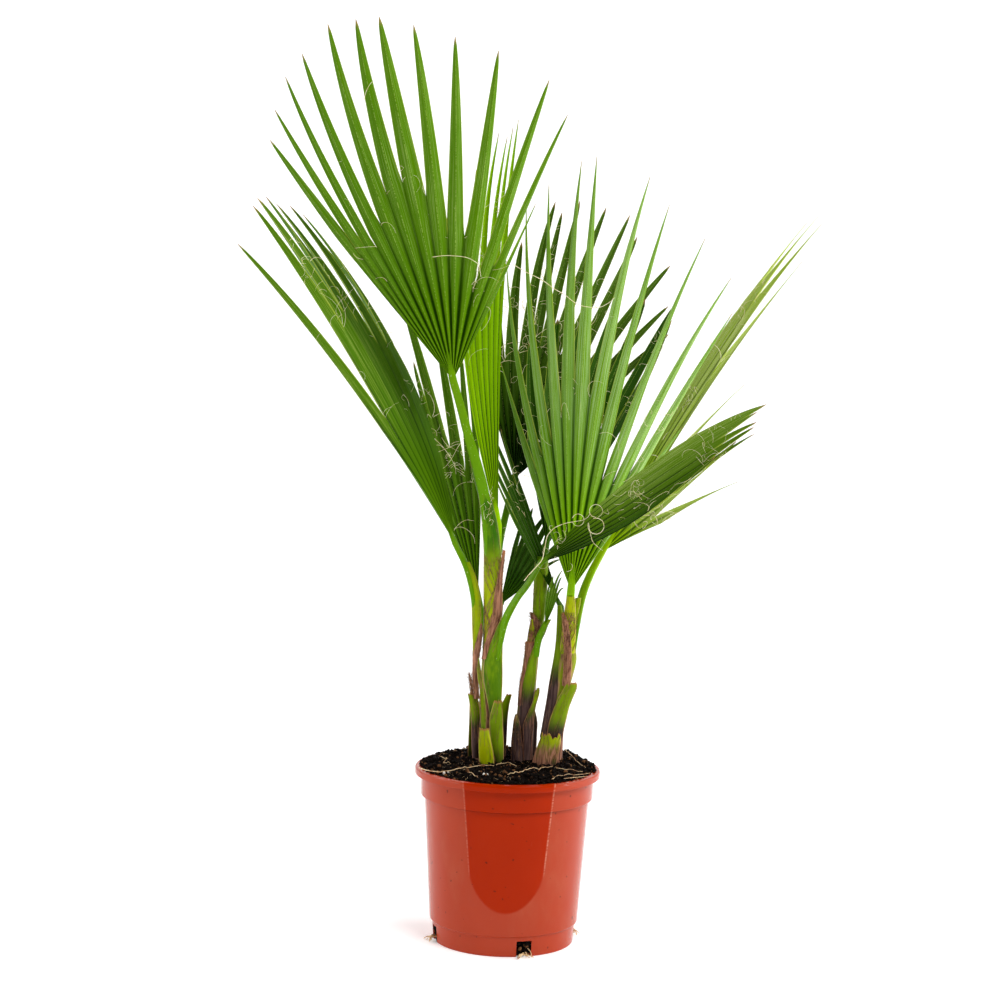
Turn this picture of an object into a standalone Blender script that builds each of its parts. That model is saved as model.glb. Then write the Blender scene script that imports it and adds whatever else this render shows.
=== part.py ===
"""A potted Mexican fan palm: three young stems in a round plastic nursery pot.

Metres, +Z up. The origin is at the centre of the pot's underside, and -Y is the front.
The pot is turned, the soil fills it, each stem stands in a plain hole in the soil, and each
frond is one solid whose stalk stands in a socket in its stem. A frond is a fan of pleated
segments, which are joined near the hub and free towards their tips.
"""

import math
import random

import bmesh
import bpy
import numpy as np
from mathutils import Matrix, Vector

# Driving dimensions of the pot.
POT_HEIGHT = 0.180
POT_RIM_DIAMETER = 0.190
POT_SIDES = 64
WALL = 0.0014
POT_EDGE = 0.0012
FLOOR_THICKNESS = 0.0022
LIP_HEIGHT = 0.0075
COLLAR_RADIUS = 0.0886
COLLAR_BOTTOM = 0.1506
BODY_TOP_RADIUS = 0.0845
BODY_BOTTOM_RADIUS = 0.0762
FOOT_HEIGHT = 0.0208
FOOT_TOP_RADIUS = 0.0736
FOOT_BOTTOM_RADIUS = 0.0722
DRAIN_WIDTH = 0.0158
DRAIN_HEIGHT = 0.0165
DRAIN_DEPTH = 0.015
DRAIN_ANGLES = (-165.0, -73.0, 17.0, 107.0)

# What keeps neighbours apart.
GAP = 0.0003

# The soil: a low mound, flat where the stems stand.
SOIL_TOP = 0.1835
SOIL_FLAT_RADIUS = 0.058
SOIL_EDGE_DROP = 0.0075
SOIL_WAVE = 0.0009
SOIL_SIDES = 40

# Stems and stalks. A stub's plate wraps back by this share of its width towards its edges, and
# its torn top has these teeth.
STEM_SIDES = 12
STALK_SIDES = 8
STUB_WRAP = 0.42
STUB_TEETH = (0.3, -1.0, 0.55, -0.8, 0.15)
RIB_SHARE = 0.046
RIB_WIDTHS = np.array((0.9, 0.34))
STEM_BOTTOM = 0.150

# Blades: the thickness is along the fan's normal, so a steep pleat's own wall is thinner.
BLADE_THICKNESS = 0.00095
PLEAT_SLOPE = 0.62
JOINED_STATIONS = (0.3, 0.65, 1.0)
FREE_STATIONS = (0.35, 0.72)
LENGTH_JITTER = (0.994, 1.006)
SPLIT_JITTER = (0.97, 1.03)

# How near the hub, and how near a ray, the ways along and across a fan are measured.
NEAREST_RADIUS = 0.010
SHARE_STEP = 0.02

LEAF_MID = (0.085, 0.270, 0.010)
LEAF_BRIGHT = (0.200, 0.430, 0.008)
LEAF_DARK = (0.022, 0.085, 0.010)

# Each frond: its stem, the colour of its blade, the stalk's route from its foot to the hub, the
# stalk's width and depth at even steps from the foot to the hub, the number of segments, the
# share of their length that neighbours are joined at even steps across the fan, the side that
# the midribs fold to (1 back, -1 front), how a segment tapers, how late along a ray its bearing
# turns, and the rays of the fan.
# A ray is its bearing from upright at the hub and at the tip in degrees, + to the right, its
# lean towards the front in degrees, and its length.
FRONDS = {
    "frond_tall_left": {
        "stem": "stem_left",
        "colour": LEAF_MID,
        "stalk": [
            (-0.0248, 0.0035, 0.376),
            (-0.024, 0.001, 0.393),
            (-0.0258, -0.0045, 0.4162),
            (-0.0282, -0.009, 0.4401),
            (-0.0328, -0.016, 0.4661),
            (-0.04, -0.026, 0.4931),
            (-0.0476, -0.035, 0.5177),
            (-0.0567, -0.046, 0.5502),
            (-0.0652, -0.055, 0.5783),
        ],
        "section": [(0.0078, 0.0062), (0.0116, 0.0070), (0.0110, 0.0066), (0.0090, 0.0060), (0.0080, 0.0056)],
        "segments": 13,
        "joined": [0.50, 0.52, 0.38, 0.44, 0.47, 0.53, 0.56, 0.51, 0.43, 0.43, 0.29, 0.42, 0.42, 0.45],
        "fold": -1,
        "taper": 0.58,
        "bend": 2.0,
        "rays": [
            (-39.8, -38.7, 4.0, 0.296),
            (-37.0, -34.8, 5.0, 0.318),
            (-34.2, -30.1, 5.6, 0.337),
            (-29.8, -25.8, 5.8, 0.353),
            (-24.4, -20.7, 6.2, 0.367),
            (-19.3, -16.6, 6.6, 0.364),
            (-12.8, -13.0, 7.0, 0.363),
            (-6.4, -7.4, 7.4, 0.349),
            (-0.4, -0.8, 7.2, 0.338),
            (7.2, 6.4, 6.0, 0.325),
            (15.4, 16.4, 3.6, 0.311),
            (20.8, 21.9, 1.0, 0.286),
            (24.6, 23.6, -2.0, 0.193),
        ],
    },
    "frond_low_left": {
        "stem": "stem_left",
        "colour": LEAF_MID,
        "stalk": [
            (-0.0345, 0.0105, 0.29),
            (-0.0352, 0.0098, 0.306),
            (-0.0366, 0.0084, 0.33),
            (-0.0395, 0.006, 0.3555),
            (-0.0474, 0.003, 0.384),
            (-0.06, 0.0, 0.4096),
        ],
        "section": [(0.0070, 0.0058), (0.0092, 0.0064), (0.0076, 0.0056)],
        "segments": 8,
        "joined": [0.38, 0.38, 0.62, 0.66, 0.62, 0.56, 0.57, 0.58, 0.50],
        "fold": 1,
        "taper": 0.60,
        "bend": 1.0,
        "rays": [
            (-29.0, -35.6, 20.0, 0.388),
            (-26.7, -30.9, 14.5, 0.405),
            (-23.8, -30.3, 9.5, 0.403),
            (-20.9, -29.7, 4.5, 0.398),
            (-18.0, -29.4, -0.5, 0.389),
            (-15.2, -27.9, -5.0, 0.384),
            (-12.3, -26.6, -9.5, 0.378),
            (-9.4, -26.6, -14.0, 0.349),
        ],
    },
    "frond_rear_left": {
        "stem": "stem_left",
        "colour": LEAF_MID,
        "stalk": [
            (-0.0215, 0.0150, 0.300),
            (-0.0235, 0.0215, 0.306),
            (-0.0285, 0.0350, 0.322),
            (-0.0355, 0.0500, 0.3479),
        ],
        "section": [(0.0052, 0.0052), (0.0070, 0.0056), (0.0070, 0.0052)],
        "segments": 6,
        "joined": [0.50, 0.60, 0.76, 0.56, 0.50, 0.50, 0.50],
        "fold": 1,
        "taper": 0.46,
        "bend": 2.0,
        "rays": [
            (-21.1, -20.5, -17.0, 0.255),
            (-17.4, -18.1, -16.0, 0.262),
            (-14.6, -16.5, -15.4, 0.346),
            (-9.6, -11.1, -14.8, 0.283),
            (-5.1, -6.4, -14.0, 0.269),
            (-1.1, -3.8, -13.0, 0.240),
        ],
    },
    "frond_spear": {
        "stem": "stem_left",
        "colour": LEAF_BRIGHT,
        "stalk": [
            (-0.0165, 0.0060, 0.381),
            (-0.0165, 0.0062, 0.394),
            (-0.0165, 0.0075, 0.410),
            (-0.0167, 0.0090, 0.4271),
        ],
        "section": [(0.0056, 0.0052), (0.0076, 0.0060), (0.0080, 0.0060)],
        "segments": 7,
        "joined": [0.62, 0.62, 0.60, 0.58, 0.60, 0.62, 0.66, 0.66],
        "fold": 1,
        "taper": 0.60,
        "bend": 2.0,
        "rays": [
            (-14.5, -8.8, 3.4, 0.271),
            (-12.2, -6.8, 3.0, 0.310),
            (-10.0, -4.8, 2.6, 0.361),
            (-7.9, -1.3, 2.2, 0.396),
            (-5.9, 0.0, 1.8, 0.395),
            (-4.0, 0.7, 1.4, 0.403),
            (-2.2, 1.5, 1.0, 0.411),
        ],
    },
    "frond_dark_rear": {
        "stem": "stem_left",
        "colour": LEAF_DARK,
        "stalk": [
            (-0.0155, 0.0145, 0.381),
            (-0.0153, 0.0152, 0.394),
            (-0.0125, 0.0400, 0.418),
            (-0.0070, 0.0680, 0.442),
            (-0.0010, 0.0870, 0.4690),
        ],
        "section": [(0.0054, 0.0052), (0.0074, 0.0058), (0.0074, 0.0052)],
        "segments": 12,
        "joined": [0.50, 0.50, 0.50, 0.52, 0.50, 0.48, 0.46, 0.44, 0.42, 0.42, 0.45, 0.45, 0.50],
        "fold": 1,
        "taper": 0.44,
        "bend": 1.5,
        "rays": [
            (-17.0, -11.2, -6.0, 0.231),
            (-11.0, -5.5, -7.5, 0.257),
            (-5.0, 0.0, -9.0, 0.251),
            (1.5, 6.4, -10.0, 0.301),
            (6.5, 8.7, -11.0, 0.294),
            (11.0, 12.1, -11.5, 0.306),
            (16.0, 16.7, -12.0, 0.312),
            (21.5, 22.1, -13.0, 0.314),
            (27.0, 26.3, -14.0, 0.299),
            (33.0, 34.4, -15.0, 0.292),
            (39.0, 40.4, -15.0, 0.257),
            (45.0, 45.5, -14.5, 0.232),
        ],
    },
    "frond_arching": {
        "stem": "stem_left",
        "colour": LEAF_DARK,
        "stalk": [
            (-0.015, -0.001, 0.291),
            (-0.0118, -0.0045, 0.308),
            (-0.0064, -0.013, 0.3341),
            (0.004, -0.033, 0.3585),
            (0.015, -0.053, 0.377),
            (0.0268, -0.075, 0.4018),
        ],
        "section": [(0.0080, 0.0060), (0.0108, 0.0068), (0.0078, 0.0056), (0.0068, 0.0050)],
        "segments": 8,
        "joined": [0.72, 0.74, 0.78, 0.78, 0.76, 0.74, 0.72, 0.70, 0.60],
        "fold": -1,
        "taper": 0.62,
        "bend": 1.0,
        "rays": [
            (40.5, 52.7, 1.0, 0.271),
            (43.5, 52.6, 6.0, 0.267),
            (47.0, 52.4, 11.0, 0.263),
            (50.5, 52.6, 15.5, 0.261),
            (54.5, 53.2, 19.0, 0.261),
            (58.5, 53.8, 22.0, 0.261),
            (62.5, 53.5, 25.0, 0.246),
            (66.5, 53.3, 28.0, 0.223),
        ],
    },
    "frond_low_rear": {
        "stem": "stem_left",
        "colour": LEAF_DARK,
        "stalk": [
            (-0.0165, 0.0150, 0.282),
            (-0.0155, 0.0215, 0.290),
            (-0.0135, 0.0370, 0.316),
            (-0.0123, 0.0500, 0.3401),
        ],
        "section": [(0.0052, 0.0052), (0.0068, 0.0056), (0.0066, 0.0050)],
        "segments": 7,
        "joined": [0.58],
        "fold": 1,
        "taper": 0.50,
        "bend": 1.0,
        "rays": [
            (12.0, 14.0, -14.0, 0.100),
            (20.0, 21.0, -14.0, 0.118),
            (30.0, 30.0, -13.0, 0.122),
            (40.0, 39.0, -12.0, 0.108),
            (50.0, 48.0, -11.0, 0.080),
        ],
    },
    "frond_middle_rear": {
        "stem": "stem_middle",
        "colour": LEAF_DARK,
        "stalk": [
            (0.0240, 0.0205, 0.309),
            (0.0252, 0.0212, 0.323),
            (0.0278, 0.0280, 0.352),
            (0.0305, 0.0420, 0.380),
            (0.0340, 0.0570, 0.4050),
        ],
        "section": [(0.0078, 0.0066), (0.0088, 0.0064), (0.0074, 0.0052)],
        "segments": 7,
        "joined": [0.50, 0.50, 0.50, 0.50, 0.48, 0.46, 0.45, 0.50],
        "fold": 1,
        "taper": 0.44,
        "bend": 1.5,
        "rays": [
            (-10.0, -6.0, -5.0, 0.215),
            (-2.0, 1.0, -7.5, 0.240),
            (6.0, 8.0, -10.0, 0.262),
            (13.5, 15.0, -12.0, 0.275),
            (20.5, 21.5, -14.0, 0.285),
            (26.0, 28.5, -16.0, 0.297),
            (31.5, 29.6, -18.0, 0.280),
        ],
    },
    "frond_small": {
        "stem": "stem_middle",
        "colour": LEAF_MID,
        "stalk": [
            (0.0262, 0.007, 0.294),
            (0.0272, 0.0055, 0.307),
            (0.0292, 0.004, 0.316),
            (0.0318, 0.003, 0.3225),
            (0.0342, 0.0022, 0.3275),
        ],
        "section": [(0.0060, 0.0052), (0.0072, 0.0056), (0.0056, 0.0046)],
        "segments": 5,
        "joined": [0.60, 0.60, 0.60, 0.60, 0.60, 0.60],
        "fold": 1,
        "taper": 0.60,
        "bend": 1.0,
        "rays": [
            (0.0, 4.0, 1.5, 0.046),
            (6.0, 8.0, 1.0, 0.056),
            (12.0, 11.5, 0.5, 0.060),
            (18.0, 15.0, 0.0, 0.056),
            (24.0, 18.5, -0.5, 0.048),
        ],
    },
    "frond_inner_right": {
        "stem": "stem_right",
        "colour": LEAF_DARK,
        "stalk": [
            (0.0530, 0.0085, 0.295),
            (0.0525, 0.0088, 0.307),
            (0.0508, 0.0095, 0.325),
            (0.0505, 0.0120, 0.3450),
        ],
        "section": [(0.0054, 0.0052), (0.0072, 0.0056), (0.0068, 0.0050)],
        "segments": 5,
        "joined": [0.55, 0.60, 0.62, 0.62, 0.60, 0.55],
        "fold": 1,
        "taper": 0.60,
        "bend": 1.0,
        "rays": [
            (-31.5, -29.5, -3.0, 0.160),
            (-28.8, -27.5, -6.0, 0.195),
            (-26.2, -25.5, -8.5, 0.215),
            (-23.6, -23.5, -11.0, 0.218),
            (-21.0, -21.5, -13.0, 0.200),
        ],
    },
    "frond_front_right": {
        "stem": "stem_right",
        "colour": LEAF_BRIGHT,
        "stalk": [
            (0.0590, 0.0045, 0.295),
            (0.0588, 0.0038, 0.307),
            (0.0582, -0.0020, 0.322),
            (0.0580, -0.0140, 0.3430),
            (0.0587, -0.0300, 0.3677),
        ],
        "section": [(0.0058, 0.0052), (0.0088, 0.0062), (0.0082, 0.0056)],
        "segments": 12,
        "joined": [0.50, 0.52, 0.41, 0.38, 0.43, 0.47, 0.45, 0.41, 0.30, 0.32, 0.40, 0.50, 0.50],
        "fold": -1,
        "taper": 0.62,
        "bend": 2.0,
        "rays": [
            (-20.6, -19.1, -18.0, 0.251),
            (-17.2, -13.0, -13.0, 0.346),
            (-12.3, -8.4, -7.0, 0.399),
            (-7.3, -5.0, -2.5, 0.413),
            (-3.6, -0.2, -0.5, 0.430),
            (1.1, 1.5, 0.2, 0.434),
            (5.5, 9.1, 0.5, 0.422),
            (10.7, 12.3, 0.5, 0.399),
            (16.5, 19.0, 0.5, 0.377),
            (21.9, 25.0, 0.0, 0.352),
            (27.4, 28.2, -2.0, 0.324),
            (32.4, 32.6, -5.0, 0.201),
        ],
    },
    "frond_far_right": {
        "stem": "stem_right",
        "colour": LEAF_BRIGHT,
        "stalk": [
            (0.0640, 0.0105, 0.295),
            (0.0648, 0.0112, 0.307),
            (0.0668, 0.0155, 0.325),
            (0.0716, 0.0300, 0.3526),
            (0.0802, 0.0450, 0.3749),
            (0.0925, 0.0600, 0.3975),
        ],
        "section": [(0.0054, 0.0052), (0.0088, 0.0064), (0.0076, 0.0054)],
        "segments": 9,
        "joined": [0.60, 0.66, 0.68, 0.66, 0.60, 0.46, 0.36, 0.40, 0.42, 0.42],
        "fold": 1,
        "taper": 0.60,
        "bend": 1.0,
        "rays": [
            (23.4, 31.2, -13.0, 0.417),
            (24.6, 31.0, -11.0, 0.420),
            (25.8, 31.4, -9.0, 0.428),
            (27.0, 32.2, -7.0, 0.417),
            (28.5, 33.2, -5.0, 0.369),
            (32.5, 38.9, -4.0, 0.229),
            (41.0, 47.0, -3.5, 0.150),
            (52.0, 49.1, -3.0, 0.170),
            (57.0, 60.8, -2.5, 0.159),
        ],
    },
}

# Each stem: the trunk's route with its half widths across and in depth, the flat leaf bases
# that grow up its side, and the cut or torn leaf bases near the soil. A base is a route of
# centre points with the width and the thickness at each; torn is how deep its top is notched.
STEMS = {
    "stem_left": {
        "trunk": [
            (-0.0200, 0.0130, STEM_BOTTOM, 0.0115, 0.0110),
            (-0.0205, 0.0130, 0.1835, 0.0158, 0.0146),
            (-0.0208, 0.0128, 0.2050, 0.0138, 0.0126),
            (-0.0208, 0.0125, 0.2460, 0.0118, 0.0108),
            (-0.0198, 0.0118, 0.3000, 0.0106, 0.0098),
            (-0.0200, 0.0108, 0.3450, 0.0104, 0.0098),
            (-0.0203, 0.0105, 0.3820, 0.0106, 0.0100),
            (-0.0203, 0.0105, 0.3900, 0.0094, 0.0088),
        ],
        "bases": [
            {
                "route": [
                    (-0.0165, 0.0035, 0.205),
                    (-0.0155, 0.0005, 0.249),
                    (-0.0152, -0.0008, 0.280),
                    (-0.0128, -0.0030, 0.304),
                ],
                "width": [0.012, 0.020, 0.018, 0.0140],
                "thickness": [0.006, 0.010, 0.0105, 0.0100],
            },
            {
                "route": [
                    (-0.0250, 0.0115, 0.235),
                    (-0.0312, 0.0115, 0.262),
                    (-0.0345, 0.0108, 0.288),
                    (-0.0362, 0.0100, 0.302),
                ],
                "width": [0.010, 0.012, 0.0125, 0.0120],
                "thickness": [0.008, 0.010, 0.010, 0.0098],
            },
        ],
        "stubs": [
            {
                "route": [
                    (-0.0210, 0.0010, 0.1842),
                    (-0.0222, -0.0048, 0.2020),
                    (-0.0242, -0.0082, 0.2228),
                ],
                "width": [0.018, 0.014, 0.0098],
                "thickness": 0.0026,
                "facing": 262.0,
                "torn": 0.0020,
            },
            {
                "route": [
                    (-0.0105, 0.0040, 0.1842),
                    (-0.0095, 0.0010, 0.2180),
                    (-0.0098, -0.0035, 0.2505),
                ],
                "width": [0.017, 0.014, 0.0090],
                "thickness": 0.0026,
                "facing": 300.0,
                "torn": 0.0024,
            },
            {
                "route": [
                    (-0.0330, 0.0110, 0.1842),
                    (-0.0345, 0.0110, 0.2200),
                    (-0.0420, 0.0095, 0.2539),
                ],
                "width": [0.016, 0.013, 0.0030],
                "thickness": 0.0024,
                "facing": 190.0,
                "torn": 0.0,
            },
            {
                "route": [
                    (-0.0262, 0.0010, 0.2180),
                    (-0.0292, 0.0010, 0.2500),
                    (-0.0328, 0.0040, 0.2890),
                ],
                "width": [0.009, 0.006, 0.0016],
                "thickness": 0.0020,
                "facing": 240.0,
                "torn": 0.0,
            },
        ],
    },
    "stem_middle": {
        "trunk": [
            (0.0150, 0.0205, STEM_BOTTOM, 0.0090, 0.0086),
            (0.0155, 0.0205, 0.1835, 0.0116, 0.0108),
            (0.0165, 0.0202, 0.2150, 0.0108, 0.0100),
            (0.0188, 0.0200, 0.2600, 0.0096, 0.0088),
            (0.0222, 0.0202, 0.3000, 0.0082, 0.0078),
            (0.0240, 0.0205, 0.3180, 0.0070, 0.0066),
        ],
        "bases": [
            {
                "route": [
                    (0.0165, 0.0130, 0.205),
                    (0.0195, 0.0105, 0.246),
                    (0.0232, 0.0085, 0.280),
                    (0.0266, 0.0063, 0.303),
                ],
                "width": [0.011, 0.016, 0.013, 0.0110],
                "thickness": [0.007, 0.010, 0.0094, 0.0086],
            },
        ],
        "stubs": [
            {
                "route": [
                    (0.0105, 0.0130, 0.1842),
                    (0.0090, 0.0110, 0.2100),
                    (0.0075, 0.0110, 0.2316),
                ],
                "width": [0.015, 0.011, 0.0028],
                "thickness": 0.0022,
                "facing": 235.0,
                "torn": 0.0,
            },
            {
                "route": [
                    (0.0215, 0.0125, 0.1842),
                    (0.0230, 0.0120, 0.2250),
                    (0.0285, 0.0130, 0.2598),
                ],
                "width": [0.015, 0.011, 0.0028],
                "thickness": 0.0022,
                "facing": 305.0,
                "torn": 0.0,
            },
        ],
    },
    "stem_right": {
        "trunk": [
            (0.0440, 0.0130, STEM_BOTTOM, 0.0096, 0.0092),
            (0.0450, 0.0130, 0.1835, 0.0136, 0.0122),
            (0.0465, 0.0125, 0.2150, 0.0118, 0.0108),
            (0.0520, 0.0108, 0.2600, 0.0108, 0.0098),
            (0.0575, 0.0088, 0.2900, 0.0118, 0.0100),
            (0.0585, 0.0080, 0.3040, 0.0112, 0.0092),
        ],
        "bases": [],
        "stubs": [
            {
                "route": [
                    (0.0440, 0.0010, 0.1842),
                    (0.0450, -0.0050, 0.2000),
                    (0.0480, -0.0090, 0.2154),
                ],
                "width": [0.024, 0.020, 0.0150],
                "thickness": 0.0026,
                "facing": 270.0,
                "torn": 0.0070,
            },
            {
                "route": [
                    (0.0510, 0.0045, 0.2000),
                    (0.0560, -0.0010, 0.2350),
                    (0.0640, -0.0040, 0.2674),
                ],
                "width": [0.020, 0.018, 0.0110],
                "thickness": 0.0028,
                "facing": 295.0,
                "torn": 0.0020,
            },
        ],
    },
}


def clear_scene():
    for obj in list(bpy.data.objects):
        bpy.data.objects.remove(obj, do_unlink=True)
    for mesh in list(bpy.data.meshes):
        bpy.data.meshes.remove(mesh)


def make_material(name, colour, roughness, metallic=0.0):
    material = bpy.data.materials.new(name)
    material.use_nodes = True
    shader = material.node_tree.nodes["Principled BSDF"]
    shader.inputs["Base Color"].default_value = (*colour, 1.0)
    shader.inputs["Roughness"].default_value = roughness
    shader.inputs["Metallic"].default_value = metallic
    material.diffuse_color = (*colour, 1.0)
    return material


def add_object(name, vertices, faces, material=None):
    """A mesh object in world space, with its faces turned outwards."""
    mesh = bpy.data.meshes.new(name)
    mesh.from_pydata([tuple(map(float, v)) for v in vertices], [], faces)
    shape = bmesh.new()
    shape.from_mesh(mesh)
    bmesh.ops.recalc_face_normals(shape, faces=shape.faces)
    if shape.calc_volume(signed=True) < 0:
        bmesh.ops.reverse_faces(shape, faces=shape.faces)
    shape.to_mesh(mesh)
    shape.free()
    obj = bpy.data.objects.new(name, mesh)
    bpy.context.scene.collection.objects.link(obj)
    if material:
        mesh.materials.append(material)
    return obj


def evaluated_mesh(obj):
    graph = bpy.context.evaluated_depsgraph_get()
    return bpy.data.meshes.new_from_object(obj.evaluated_get(graph))


def combine(target, others, operation):
    """One Boolean of target with others, applied, with the others then removed.

    The exact solver gives an empty mesh on some pleated fans, which the other then joins.
    """
    group = bpy.data.collections.new(target.name + "_operands")
    bpy.context.scene.collection.children.link(group)
    for other in others:
        bpy.context.scene.collection.objects.unlink(other)
        group.objects.link(other)
    modifier = target.modifiers.new(operation.title(), "BOOLEAN")
    modifier.operation = operation
    modifier.operand_type = "COLLECTION"
    modifier.collection = group
    for solver in ("EXACT", "MANIFOLD"):
        modifier.solver = solver
        bpy.context.view_layer.update()
        mesh = evaluated_mesh(target)
        if mesh.polygons:
            break
    target.modifiers.remove(modifier)
    target.data = mesh
    for other in others:
        bpy.data.objects.remove(other, do_unlink=True)
    bpy.data.collections.remove(group)
    return target


def largest_body(obj):
    """Drops the loose scraps that a Boolean may leave, and cuts every face into triangles."""
    shape = bmesh.new()
    shape.from_mesh(obj.data)
    unseen = set(shape.verts)
    bodies = []
    while unseen:
        first = unseen.pop()
        body = {first}
        queue = [first]
        while queue:
            for edge in queue.pop().link_edges:
                for vertex in edge.verts:
                    if vertex in unseen:
                        unseen.discard(vertex)
                        body.add(vertex)
                        queue.append(vertex)
        bodies.append(body)
    keep = max(bodies, key=len)
    scraps = [v for v in shape.verts if v not in keep]
    bmesh.ops.delete(shape, geom=scraps, context="VERTS")
    bmesh.ops.triangulate(shape, faces=shape.faces)
    shape.to_mesh(obj.data)
    shape.free()
    return obj


def smooth_route(points, steps):
    """Points on a smooth curve through the given ones, with steps to each stretch."""
    points = [np.array(p, dtype=float) for p in points]
    padded = [2 * points[0] - points[1], *points, 2 * points[-1] - points[-2]]
    route = []
    for before, start, end, after in zip(padded, padded[1:], padded[2:], padded[3:]):
        for step in range(steps):
            t = step / steps
            route.append(
                0.5
                * (
                    2 * start
                    + (end - before) * t
                    + (2 * before - 5 * start + 4 * end - after) * t**2
                    + (3 * start - before - 3 * end + after) * t**3
                )
            )
    route.append(points[-1])
    return np.array(route)


def unit(vector):
    return vector / np.linalg.norm(vector)


def loft(rings, plate=False):
    """Vertices and faces of a closed skin through rings of equal counts, capped at both ends.

    A plate's ring runs along its front and back again, so its caps are quads between the two.
    """
    count = len(rings[0])
    vertices = [point for ring in rings for point in ring]
    faces = []
    for k in range(len(rings) - 1):
        for i in range(count):
            j = (i + 1) % count
            a, b = k * count + i, k * count + j
            faces.append((a, b, b + count))
            faces.append((a, b + count, a + count))
    last = (len(rings) - 1) * count
    if plate:
        for i in range(count // 2 - 1):
            j = count - 1 - i
            faces.append((i, j, j - 1, i + 1))
            faces.append((last + i, last + i + 1, last + j - 1, last + j))
    else:
        faces.append(tuple(range(count))[::-1])
        faces.append(tuple(range(last, last + count)))
    return vertices, faces


def tube_rings(route, half_widths, half_depths, across, sides):
    """Oval rings square to the route, with their wide way along across."""
    rings = []
    for k, point in enumerate(route):
        ahead = unit(route[min(k + 1, len(route) - 1)] - route[max(k - 1, 0)])
        wide = unit(across - ahead * np.dot(across, ahead))
        deep = np.cross(ahead, wide)
        angles = [2 * math.pi * (i + 0.5) / sides for i in range(sides)]
        rings.append(
            [
                point + wide * half_widths[k] * math.cos(a) + deep * half_depths[k] * math.sin(a)
                for a in angles
            ]
        )
    return rings


def pot_profile():
    """The pot's section, from the floor's centre out, up the outside and down the inside."""
    rim = POT_RIM_DIAMETER / 2
    lip_bottom = POT_HEIGHT - LIP_HEIGHT
    inner_top = COLLAR_RADIUS - WALL
    edge = POT_EDGE
    return [
        (0.0, 0.0),
        (FOOT_BOTTOM_RADIUS - edge, 0.0),
        (FOOT_BOTTOM_RADIUS, edge),
        (FOOT_TOP_RADIUS, FOOT_HEIGHT - edge / 2),
        (BODY_BOTTOM_RADIUS, FOOT_HEIGHT + edge),
        (BODY_TOP_RADIUS, COLLAR_BOTTOM - edge / 2),
        (COLLAR_RADIUS - edge, COLLAR_BOTTOM),
        (COLLAR_RADIUS - edge / 4, COLLAR_BOTTOM + edge),
        (COLLAR_RADIUS, POT_HEIGHT - 1.6 * WALL),
        (rim - 1.6 * WALL, POT_HEIGHT - 1.9 * WALL),
        (rim - WALL, lip_bottom),
        (rim - edge / 4, lip_bottom),
        (rim, lip_bottom + 2.2 * edge),
        (rim - edge / 2, POT_HEIGHT - 1.2 * edge),
        (rim - 2 * edge, POT_HEIGHT),
        (inner_top + edge, POT_HEIGHT),
        (inner_top, POT_HEIGHT - edge),
        (inner_top, COLLAR_BOTTOM + 2 * edge),
        (BODY_TOP_RADIUS - WALL, COLLAR_BOTTOM - edge),
        (BODY_BOTTOM_RADIUS - WALL, FOOT_HEIGHT + 2 * edge),
        (FOOT_TOP_RADIUS - WALL, FOOT_HEIGHT - edge / 2),
        (FOOT_BOTTOM_RADIUS - WALL, FLOOR_THICKNESS),
        (0.0, FLOOR_THICKNESS),
    ]


def turned(profile, sides):
    """A solid of revolution round Z from a profile whose two ends lie on the axis."""
    vertices = [(0.0, 0.0, profile[0][1])]
    for radius, height in profile[1:-1]:
        for i in range(sides):
            angle = 2 * math.pi * i / sides
            vertices.append((radius * math.cos(angle), radius * math.sin(angle), height))
    vertices.append((0.0, 0.0, profile[-1][1]))
    last = len(vertices) - 1
    faces = []
    for i in range(sides):
        j = (i + 1) % sides
        faces.append((0, 1 + j, 1 + i))
        for k in range(len(profile) - 3):
            a, b = 1 + k * sides + i, 1 + k * sides + j
            faces.append((a, b, b + sides, a + sides))
        tail = 1 + (len(profile) - 3) * sides
        faces.append((tail + i, tail + j, last))
    return vertices, faces


def make_pot(material):
    pot = add_object("pot", *turned(pot_profile(), POT_SIDES), material)
    cutters = []
    for angle in DRAIN_ANGLES:
        turn = math.radians(angle - 90.0)
        across = Vector((-math.sin(turn), math.cos(turn), 0.0))
        out = Vector((math.cos(turn), math.sin(turn), 0.0))
        cutter = bmesh.new()
        bmesh.ops.create_cube(cutter, size=1.0)
        centre = out * FOOT_TOP_RADIUS
        up = Vector((0.0, 0.0, 2 * DRAIN_HEIGHT))
        sides = Matrix((across * DRAIN_WIDTH, out * DRAIN_DEPTH, up))
        bmesh.ops.transform(cutter, matrix=sides.transposed().to_4x4(), verts=cutter.verts)
        bmesh.ops.translate(cutter, vec=centre, verts=cutter.verts)
        vertices = [v.co[:] for v in cutter.verts]
        faces = [tuple(v.index for v in f.verts) for f in cutter.faces]
        cutter.free()
        cutters.append(add_object(f"drain_{angle:g}", vertices, faces))
    combine(pot, cutters, "DIFFERENCE")
    largest_body(pot)
    pot.data.shade_smooth()
    pot.data.set_sharp_from_angle(angle=math.radians(35.0))
    return pot


def soil_height(radius, angle):
    """A low mound with slow waves, level where the stems stand."""
    reach = (COLLAR_RADIUS - WALL - GAP) - SOIL_FLAT_RADIUS
    share = max(0.0, (radius - SOIL_FLAT_RADIUS) / reach)
    wave = SOIL_WAVE * share * (math.sin(3 * angle + 0.6) + 0.6 * math.sin(7 * angle))
    return SOIL_TOP - SOIL_EDGE_DROP * share**2 + wave


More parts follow.
